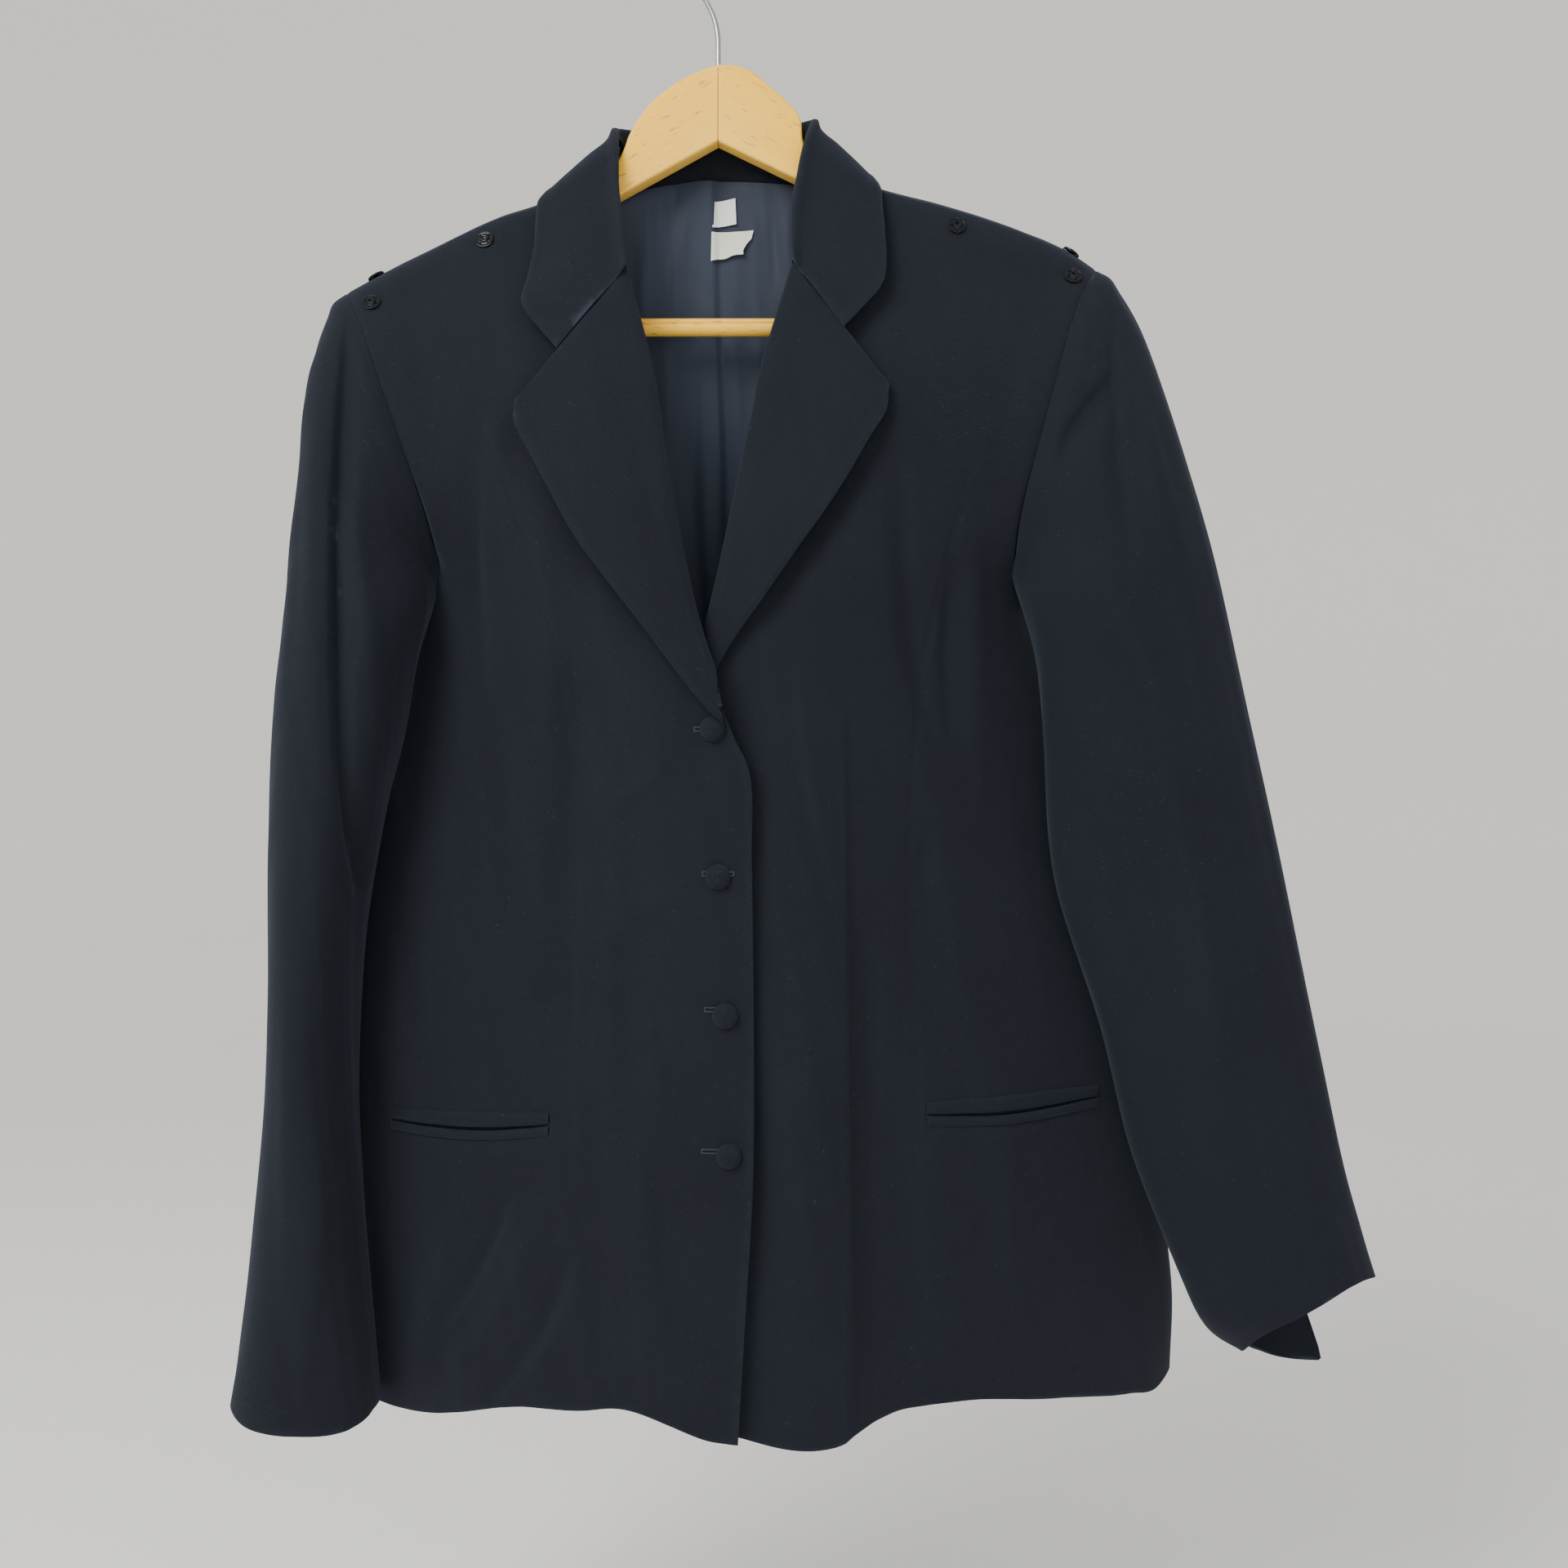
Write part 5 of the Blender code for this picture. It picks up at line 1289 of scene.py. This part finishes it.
def dress_label(size):
    """A tape between its four corners, a little off the lining, its torn side ragged."""
    count = 26
    top_start, top_end, foot_start, foot_end = (np.array(c, float) for c in size["corners"])
    grid = np.zeros((count + 1, count + 1, 3))
    for i in range(count + 1):
        for j in range(count + 1):
            s, t = i / count, 1 - j / count
            upper, lower = top_start + (top_end - top_start) * s, foot_start + (foot_end - foot_start) * s
            x, z = upper + (lower - upper) * t
            ragged = size["torn"] * (math.sin(t * 7 - 0.6) + 0.25 * math.sin(t * 19 + 1))
            x += ragged * s**6
            z += 0.5 * size["torn"] * math.sin(s * 11) * t**6
            place, normal = on_surface(lining_tree, x, z)
            lift = 0.9 + size["curl"] * (t**2 * 0.6 + s**3 * t)
            grid[i, j] = place + normal * lift
    return grid


for which, finish in (("upper", TAPE), ("lower", OLD_TAPE)):
    cloth_piece(f"tape_label_{which}", f"label_{which}", dress_label(LABELS[which]), finish,
                wall=0.35, rounding=0.1)

# %% [markdown]
# ## Pockets
# Each pocket is a slit in the front between two folded strips of cloth, the jets. A jet is a
# padded-looking roll: sewn flat along its far edge, round in its middle, and turned into the
# mouth at its near edge. Both hang down in the middle, the lower one more, so the mouth gapes.

# %% Jets
JET_PROFILE = table("share height", [
    (-0.06, -0.5), (0.0, 0.25), (0.1, 0.95), (0.45, 1.5), (0.8, 1.35), (0.97, 0.6), (1.0, -0.4), (0.95, -1.6)])


# Jets are laid on the fronts as they are without the hollows behind the mouths
jet_trees = {side: tree_through(dress_front(side, hollow=0)) for side in SIDES}


def dress_jet(side, which):
    """One jet: its far edge lies straight above the mouth, or hangs with it below."""
    way = 1 if which == "upper" else -1
    columns = []
    for i in range(61):
        share = i / 60
        x, z = mouth_line(side, share, MOUTH_SAG[which])
        far_z = mouth_line(side, share, 0 if which == "upper" else MOUTH_SAG[which])[1]
        squeeze = 0.55 + 0.45 * min(1, 9 * min(share, 1 - share) + 0.15)
        ring = []
        for q, height in zip(JET_PROFILE["share"], JET_PROFILE["height"]):
            height_here = z + way * MOUTH_HALF_GAP + (far_z - z + way * JET_HEIGHT[which]) * (1 - q)
            place, normal = on_surface(jet_trees[side], x, height_here)
            ring.append(place + normal * (height * squeeze + 0.15))
        columns.append(ring)
    grid = np.array(columns)
    if which == "lower":
        grid = grid[:, ::-1]
    return finer(grid[:, ::-1], 90, 20)


for side in SIDES:
    for which in ("upper", "lower"):
        node = f"pocket_{side}_{which}_jet"
        cloth_piece(f"cloth_{node}", node, dress_jet(side, which), NAVY, wall=0.6, rounding=0.15)

# %% [markdown]
# ## Buttons and buttonholes
# The four buttons are domes covered in the jacket's own cloth, drawn tight over the face and
# gathered at the rim. One is modelled from a sphere, flattened and cut off behind, and copied to
# its places. Each worked buttonhole is a long loop of thick thread that shows past its button.

# %% Placing copies
def turned_to(normal, spin=0.0):
    """A rotation that takes +Z to a normal and keeps +X level."""
    facing = Vector(normal).normalized()
    level = Vector((1, 0, 0)) - facing * facing.x
    level.normalize()
    return Matrix((level, facing.cross(level), facing)).transposed().to_4x4() @ Matrix.Rotation(spin, 4, "Z")


def flat_uv(mesh):
    """A UV map in metres, straight down onto the piece as it was modelled."""
    layer = mesh.uv_layers.active or mesh.uv_layers.new(name="cloth")
    corners = np.zeros(len(mesh.loops), int)
    mesh.loops.foreach_get("vertex_index", corners)
    places = np.zeros(len(mesh.vertices) * 3)
    mesh.vertices.foreach_get("co", places)
    layer.data.foreach_set("uv", places.reshape(-1, 3)[corners, :2].ravel())


def set_piece(model, name, place, normal, node=None, spin=0.0):
    """A copy of a modelled piece with its own mesh, put at a place in millimetres."""
    mesh = model.data.copy()
    mesh.transform(Matrix.Translation(Vector(place) * MM) @ turned_to(normal, spin))
    hand_over(new_object(name, mesh), node)


def start_model(name):
    """The new primitive, named, alone in edit mode."""
    made = bpy.context.object
    made.name = name
    bpy.ops.object.mode_set(mode="EDIT")
    bpy.ops.mesh.select_all(action="SELECT")
    return made


def choose(made, kind, test):
    """Selects vertices, edges or faces by a test, from edit mode."""
    bpy.ops.mesh.select_mode(type={"verts": "VERT", "edges": "EDGE", "faces": "FACE"}[kind])
    bpy.ops.mesh.select_all(action="DESELECT")
    mesh = bmesh.from_edit_mesh(made.data)
    chosen = [part for part in getattr(mesh, kind) if test(part)]
    for part in chosen:
        part.select_set(True)
    mesh.select_flush_mode()
    bmesh.update_edit_mesh(made.data)
    return len(chosen)


def cord_piece(name, lines, radius, finish, resolution, closed=False):
    """A round cord along lines of points in metres, made a mesh."""
    curve = bpy.data.curves.new(name, "CURVE")
    curve.dimensions = "3D"
    curve.bevel_depth = radius * MM
    curve.bevel_resolution = resolution
    curve.use_fill_caps = not closed
    for line in lines:
        spline = curve.splines.new("POLY")
        spline.points.add(len(line) - 1)
        spline.use_cyclic_u = closed
        for point, place in zip(spline.points, line):
            point.co = (*place, 1)
    made = new_object(name, curve)
    bpy.ops.object.convert(target="MESH")
    made.data.materials.append(finish)
    return made


# %% One button
BUTTON_RADIUS, BUTTON_FLATNESS = 6.6, 0.56

bpy.ops.object.select_all(action="DESELECT")
bpy.ops.mesh.primitive_uv_sphere_add(segments=48, ring_count=28, radius=BUTTON_RADIUS * MM)
button_model = start_model("button_model")
bpy.ops.transform.resize(value=(1, 1, BUTTON_FLATNESS))
bpy.ops.transform.translate(value=(0, 0, 1.05 * MM))
bpy.ops.mesh.bisect(plane_co=(0, 0, 0), plane_no=(0, 0, 1), clear_inner=True, use_fill=True)
bpy.ops.object.mode_set(mode="OBJECT")
for vertex in button_model.data.vertices:
    around = math.atan2(vertex.co.y, vertex.co.x)
    rim = math.exp(-(((vertex.co.z / MM - 1.2) / 0.9) ** 2))
    gather = 1 + 0.012 * rim * math.sin(14 * around) + 0.008 * rim * math.sin(9 * around + 1)
    vertex.co.x *= gather
    vertex.co.y *= gather
    vertex.co.z += 0.12 * MM * math.sin(3 * around + 0.6) * (1 - rim) * (vertex.co.z / MM > 2)
flat_uv(button_model.data)
button_model.data.shade_smooth()
button_model.data.set_sharp_from_angle(angle=math.radians(50))
button_model.data.materials.append(NAVY)

for i, (x, z) in enumerate(BUTTON_AT):
    place, normal = on_surface(front_trees["right"], x, z)
    set_piece(button_model, f"covered_button_{i + 1}", place + normal * 0.7, normal,
              f"button_{i + 1}", spin=0.7 * i)
bpy.data.objects.remove(button_model)
print("buttons are", 2 * BUTTON_RADIUS, "mm across")

# %% Buttonholes
THREAD_NAVY = wool("buttonhole_thread", (0.016, 0.019, 0.027), (0.028, 0.032, 0.042), lint=0.0)
HOLE_SPANS = ((-16.5, -1, -440), (-12, 4.6, -516.5), (-10.8, 5, -588), (-12.2, 4, -662))
HOLE_HALF, HOLE_THREAD, HOLE_LIFT = 1.0, 0.48, 0.2


def hole_loop(span):
    """The line of a loop of thread round a slit, as seen from the front."""
    start, end, height = span
    line = []
    for k in range(64):
        turn = 2 * math.pi * k / 64
        reach = HOLE_HALF * (1.0 + (0.55 if math.cos(turn) < -0.6 else 0))
        x = (start + HOLE_HALF if math.cos(turn) < 0 else end - HOLE_HALF) + HOLE_HALF * math.cos(turn)
        line.append((x, height + reach * math.sin(turn)))
    return line


for i, span in enumerate(HOLE_SPANS):
    laid = []
    for x, z in hole_loop(span):
        place, normal = on_surface(front_trees["right"], x, z)
        laid.append((place + normal * HOLE_LIFT) * MM)
    made = cord_piece(f"buttonhole_{i + 1}", [laid], HOLE_THREAD, THREAD_NAVY, resolution=3, closed=True)
    made.data.shade_smooth()
    hand_over(made)
print("buttonholes:", len(HOLE_SPANS))

# %% [markdown]
# ## Press studs
# Black sew-on press studs hold shoulder marks when they are worn. Each is a thin pressed disc with
# a turned rim, a raised middle with a small hole, and four holes through which it is sewn. It is
# shaped from a cylinder by insets and extrusions, and the sewing holes are cut with a boolean.

# %% Black metal and thread
def black_metal(name):
    made, tree, shader, where = new_material(name, 0.3, metallic=0.55)
    # Rims are painted paler: a painted highlight on the rims, as well as worn metal
    wear_and_highlight = use_group(tree, EDGE_WEAR_AND_HIGHLIGHT, {"Amount": 0.2}, where.outputs["Object"])
    tree.links.new(mix_colours(tree, wear_and_highlight.outputs["Mask"], (0.005, 0.0055, 0.008), (0.09, 0.095, 0.11)),
                   shader.inputs["Base Color"])
    patch = noise_node(tree, where.outputs["Object"], 900.0, 2.0)
    tree.links.new(plus(tree, times(tree, patch, 0.14), 0.1), shader.inputs["Roughness"])
    bump(tree, shader, patch, 0.08, 0.0002)
    return made


BLACK_METAL = black_metal("black_press_stud")
BLACK_THREAD = wool("black_thread", (0.006, 0.006, 0.008), (0.014, 0.014, 0.018), lint=0.0)
STUD_RADIUS, STUD_DISC = 5.0, 0.9

# %% One stud
bpy.ops.object.select_all(action="DESELECT")
bpy.ops.mesh.primitive_cylinder_add(vertices=48, radius=STUD_RADIUS * MM, depth=STUD_DISC * MM,
                                    location=(0, 0, STUD_DISC * MM / 2))
stud_model = start_model("stud_model")
bpy.ops.object.mode_set(mode="OBJECT")
bpy.ops.object.transform_apply(location=True, rotation=True, scale=True)
bpy.ops.object.mode_set(mode="EDIT")


def stud_top(face):
    return face.normal.z > 0.9 and face.calc_center_median().length < 3 * MM and len(face.verts) > 8


# Each inset's width and height: the rim, the dish, its floor, the middle's wall and top, the hole
STUD_INSETS = ((0.55, 0), (0.25, -0.28), (1.6, 0), (0.3, 0.9), (0.35, 0.35), (0.75, 0), (0.1, -0.8))

choose(stud_model, "faces", stud_top)
for inset, raise_by in STUD_INSETS:
    bpy.ops.mesh.inset(thickness=inset * MM, depth=raise_by * MM)
bpy.ops.object.mode_set(mode="OBJECT")

HOLE_RADIUS, HOLE_OUT = 0.62, 3.35
bpy.ops.object.select_all(action="DESELECT")
for k in range(4):
    turn = math.pi / 4 + k * math.pi / 2
    bpy.ops.mesh.primitive_cylinder_add(
        vertices=14, radius=HOLE_RADIUS * MM, depth=4 * MM,
        location=(HOLE_OUT * MM * math.cos(turn), HOLE_OUT * MM * math.sin(turn), 0))
    bpy.context.object.name = f"sewing_hole_{k}"
for k in range(4):
    bpy.data.objects[f"sewing_hole_{k}"].select_set(True)
bpy.ops.object.join()
cutter = bpy.context.object
finish_modifiers(
    stud_model,
    ("BOOLEAN", {"object": cutter, "operation": "DIFFERENCE", "solver": "EXACT"}),
    rounded(0.14, 40))
bpy.data.objects.remove(cutter)
stud_model.data.shade_smooth()
stud_model.data.set_sharp_from_angle(angle=math.radians(45))
stud_model.data.materials.append(BLACK_METAL)
print("one stud has", len(stud_model.data.polygons), "faces")

# %% Stud threads
def thread_model():
    """Four pairs of short strands, each from a sewing hole over the rim into the cloth."""
    steps = ((3.2, 0.1), (3.5, 0.95), (4.4, 1.0), (5.05, 0.7), (5.2, -0.3))
    strands = []
    for k in range(4):
        for aside in (-0.22, 0.22):
            turn = math.pi / 4 + k * math.pi / 2 + aside * 0.35
            strands.append([
                (reach * MM * math.cos(turn) - aside * MM * math.sin(turn),
                 reach * MM * math.sin(turn) + aside * MM * math.cos(turn), height * MM)
                for reach, height in steps])
    made = cord_piece("stud_thread_model", strands, 0.13, BLACK_THREAD, resolution=1)
    made.data.shade_smooth()
    return made


thread_strands = thread_model()
back_tree = tree_through(back_dressed)
STUDS = {
    "right_inner": (-135, -167, "front_right"), "right_outer": (-197, -203, "front_right"),
    "left_inner": (127, -159, "front_left"), "left_outer": (191, -188, "front_left"),
    "right_top": (-198, -1, "back"), "left_top": (192, -1, "back")}
STUD_LIFT = 0.35
for k, (name, (x, other, panel)) in enumerate(STUDS.items()):
    if panel == "back":
        place, normal, _, _ = back_tree.ray_cast(Vector((x, other, 0)), Vector((0, 0, -1)))
        place, normal = np.array(place), np.array(normal if normal.z > 0 else -normal)
    else:
        place, normal = on_surface(front_trees[panel.split("_")[1]], x, other)
    seat, spin = place + normal * STUD_LIFT, 0.4 * k
    set_piece(stud_model, f"stud_{name}", seat, normal, f"press_stud_{name}", spin=spin)
    set_piece(thread_strands, f"stud_thread_{name}", seat, normal, spin=spin)
bpy.data.objects.remove(stud_model)
bpy.data.objects.remove(thread_strands)
print("studs:", ", ".join(STUDS))

# %% [markdown]
# ## The hanger
# Two flat arms of pale honey-coloured wood meet in a mitre in the round head. Their edges are
# rounded over, the grain runs along each arm, and clear lacquer gives a soft gloss. A round bar
# for trousers joins them, and a bent steel wire makes the hook.

# %% Wood
def build_grain():
    """Long streaks and short pores along X of a vector."""
    tree, start, end = new_group("wood_grain", {"Along": ("NodeSocketVector", None)}, ("Streak", "Pores"))
    long = tree.nodes.new("ShaderNodeMapping")
    long.inputs["Scale"].default_value = (4.0, 60.0, 60.0)
    short = tree.nodes.new("ShaderNodeMapping")
    short.inputs["Scale"].default_value = (110.0, 900.0, 900.0)
    for mapping in (long, short):
        tree.links.new(start.outputs["Along"], mapping.inputs["Vector"])
    streak = noise_node(tree, long.outputs[0], 1.6, 5.0)
    pores = noise_node(tree, short.outputs[0], 1.0, 2.0)
    tree.links.new(streak, end.inputs["Streak"])
    tree.links.new(math_node(tree, "GREATER_THAN", pores, 0.66), end.inputs["Pores"])
    return tree


GRAIN = build_grain()


def wood(name, tilt):
    """Lacquered pale wood, its grain tilted in the hanger's plane."""
    made, tree, shader, where = new_material(name, 0.4, specular=0.12)
    turn = tree.nodes.new("ShaderNodeMapping")
    turn.inputs["Rotation"].default_value = (0, tilt, 0)
    tree.links.new(where.outputs["Object"], turn.inputs["Vector"])
    grain = use_group(tree, GRAIN, {}, turn.outputs[0])
    # Rounded edges are painted paler: a painted highlight of the lacquer along them, as well as worn edges
    wear_and_highlight = use_group(tree, EDGE_WEAR_AND_HIGHLIGHT, {"Amount": 0.5}, where.outputs["Object"])
    base = mix_colours(tree, grain.outputs["Streak"], (1.0, 0.60, 0.04), (0.94, 0.47, 0.022))
    pored = mix_colours(tree, times(tree, grain.outputs["Pores"], 0.75), base, (0.42, 0.19, 0.04))
    worn = mix_colours(tree, wear_and_highlight.outputs["Mask"], pored, (1.0, 0.78, 0.36))
    tree.links.new(worn, shader.inputs["Base Color"])
    bump(tree, shader, grain.outputs["Streak"], 0.1, 0.0006)
    shader.inputs["Coat Weight"].default_value = 0.06
    shader.inputs["Coat Roughness"].default_value = 0.25
    return made


WOODS = {side: wood(f"honey_wood_{side}", -SIGN[side] * math.atan(ARM_SLOPE[side])) for side in SIDES}
WOODS["bar"] = wood("honey_wood_bar", 0.0)

# %% Arms
WOOD_HALF, WOOD_ROUNDING = 6.5, 1.7


def model_arm(side):
    """An outline of the arm, extruded through its thickness, with rounded long edges."""
    rows = ARM_TOP[side]
    at = np.linspace(0, len(rows["x"]) - 1, 70)
    xs, tops = (along(np.arange(len(rows[name])), rows[name], at) for name in ("x", "z"))
    feet = ARM_FOOT_AT_MITRE - np.abs(xs[[-1, 0]] - MITRE_X) * ARM_SLOPE[side]
    outline = [(x * MM, -WOOD_HALF * MM, z * MM) for x, z in zip(xs, tops)]
    outline += [(xs[-1] * MM, -WOOD_HALF * MM, feet[0] * MM), (xs[0] * MM, -WOOD_HALF * MM, feet[1] * MM)]
    mesh = bpy.data.meshes.new(f"wood_arm_{side}")
    mesh.from_pydata(outline, [], [list(range(len(outline)))])
    made = new_object(mesh.name, mesh)
    bpy.ops.object.mode_set(mode="EDIT")
    bpy.ops.mesh.select_all(action="SELECT")
    bpy.ops.mesh.extrude_region_move(TRANSFORM_OT_translate={"value": (0, 2 * WOOD_HALF * MM, 0)})
    bpy.ops.mesh.select_all(action="SELECT")
    bpy.ops.mesh.normals_make_consistent(inside=False)
    bpy.ops.object.mode_set(mode="OBJECT")
    weights = made.data.attributes.new("bevel_weight_edge", "FLOAT", "EDGE")
    for edge in made.data.edges:
        ends = [made.data.vertices[k].co for k in edge.vertices]
        lengthways = abs(ends[0].y - ends[1].y) < 0.1 * MM
        at_mitre = all(abs(end.x / MM - xs[0]) < 0.3 for end in ends)
        weights.data[edge.index].value = 1.0 if lengthways and not at_mitre else 0.0
    finish_modifiers(made, ("BEVEL", {"width": WOOD_ROUNDING * MM, "segments": 5, "limit_method": "WEIGHT",
                                      "use_clamp_overlap": True}))
    made.data.shade_smooth()
    made.data.set_sharp_from_angle(angle=math.radians(40))
    made.data.materials.append(WOODS[side])
    hand_over(made, f"hanger_arm_{side}")
    return made


for side in SIDES:
    arm = model_arm(side)
    print(arm.name, len(arm.data.polygons), "faces")

# %% Trouser bar
BAR_RADIUS, BAR_HEIGHT = 5.0, -212.0
bar_drop = ARM_FOOT_AT_MITRE - BAR_HEIGHT - BAR_RADIUS
bar_ends = {side: MITRE_X + SIGN[side] * (bar_drop / ARM_SLOPE[side] - 2 * SEAM_GAP) for side in SIDES}
bar_middle = (bar_ends["right"] + bar_ends["left"]) / 2

bpy.ops.object.select_all(action="DESELECT")
bpy.ops.mesh.primitive_cylinder_add(
    vertices=40, radius=BAR_RADIUS * MM, depth=(bar_ends["left"] - bar_ends["right"]) * MM,
    location=(bar_middle * MM, 0, BAR_HEIGHT * MM), rotation=(0, math.pi / 2, 0))
bar = start_model("wood_trouser_bar")
bpy.ops.object.mode_set(mode="OBJECT")
bpy.ops.object.transform_apply(location=True, rotation=True, scale=True)
bpy.ops.object.mode_set(mode="EDIT")


GROOVE_ABOVE, GROOVE_DEPTH = 1.1, 1.3


def in_groove(vertex):
    """The points of one line along the bar's front, a little above its middle."""
    return vertex.co.y < -0.9 * BAR_RADIUS * MM and abs(vertex.co.z / MM - BAR_HEIGHT - GROOVE_ABOVE) < 0.6


grooved = choose(bar, "verts", in_groove)
bpy.ops.transform.translate(value=(0, GROOVE_DEPTH * MM, 0))
bpy.ops.object.mode_set(mode="OBJECT")
finish_modifiers(bar, rounded(0.5, 60))
bar.data.shade_smooth()
bar.data.set_sharp_from_angle(angle=math.radians(35))
bar.data.materials.append(WOODS["bar"])
hand_over(bar, "trouser_bar")
print("bar is", round(bar_ends["left"] - bar_ends["right"]), "mm long,", grooved, "points in its groove")

# %% Hook
def steel(name):
    made, tree, shader, where = new_material(name, 0.28, metallic=1.0)
    patch = noise_node(tree, where.outputs["Object"], 220.0, 3.0)
    colour = mix_colours(tree, patch, (0.50, 0.51, 0.53), (0.36, 0.36, 0.37))
    tree.links.new(colour, shader.inputs["Base Color"])
    tree.links.new(plus(tree, times(tree, patch, 0.2), 0.18), shader.inputs["Roughness"])
    bump(tree, shader, patch, 0.08, 0.0003)
    return made


WIRE_RADIUS, CROOK_RADIUS = 1.45, 17.5
hook_line = [(-6, -66), (-6, -60), (-6, -54), (-6.1, -49), (-6.7, -44), (-7.7, -40), (-9, -36)]
for degrees in np.linspace(222, -38, 60):
    turn = math.radians(degrees)
    hook_line.append((CROOK_RADIUS * math.cos(turn),
                      WIRE_RADIUS - CROOK_RADIUS + CROOK_RADIUS * math.sin(turn)))

hook = cord_piece("steel_hook", [[(x * MM, 0, z * MM) for x, z in hook_line]], WIRE_RADIUS,
                  steel("steel_wire"), resolution=6)
finish_modifiers(hook, rounded(0.4, 60, segments=3))
hook.data.shade_smooth()
hand_over(hook, "hook")
print("hook:", len(hook.data.polygons), "faces")

# %% [markdown]
# ## The cut of the cloth
# A sheet hangs well only if it is as large as the cloth it was cut from. Each sheet's cut is listed with its
# size and flat area in metres, all round for a sleeve, and with what it hangs from or lies on.

# %% Sheets
CUT = {
    "cloth_front_right": (0.28, 0.71, 0.142, "hung", ["wood_arm_right"]),
    "cloth_front_left": (0.30, 0.71, 0.154, "hung", ["wood_arm_left"]),
    "cloth_back": (0.52, 0.71, 0.281, "hung", ["wood_arm_right", "wood_arm_left"]),
    "cloth_sleeve_right": (0.34, 0.62, 0.130, "hung", ["cloth_front_right", "cloth_back"]),
    "cloth_sleeve_left": (0.37, 0.60, 0.145, "hung", ["cloth_front_left", "cloth_back"]),
    "cloth_lapel_right": (0.095, 0.245, 0.0122, "folded", ["cloth_front_right"]),
    "cloth_lapel_left": (0.085, 0.220, 0.0103, "folded", ["cloth_front_left"]),
    "cloth_collar": (0.085, 0.440, 0.0243, "folded", ["cloth_front_right", "cloth_front_left", "cloth_back"]),
    "cloth_back_lining": (0.44, 0.69, 0.208, "hung", ["cloth_back"]),
    "tape_label_upper": (0.0125, 0.017, 0.00021, "hung", ["cloth_back_lining"]),
    "tape_label_lower": (0.024, 0.018, 0.00033, "hung", ["cloth_back_lining"]),
}
JET_CUT = (("right", "upper", 0.096, 0.0112, 0.00098), ("right", "lower", 0.096, 0.0102, 0.00088),
           ("left", "upper", 0.100, 0.0112, 0.00102), ("left", "lower", 0.100, 0.0102, 0.00092))
for side, which, width, length, flat_area in JET_CUT:
    CUT[f"cloth_pocket_{side}_{which}_jet"] = (width, length, flat_area, "folded", [f"cloth_front_{side}"])
for name, (width, length, flat_area, held, rests_on) in CUT.items():
    print(f"{name}: cut {width * 1000:.0f} by {length * 1000:.0f} mm, {held}")
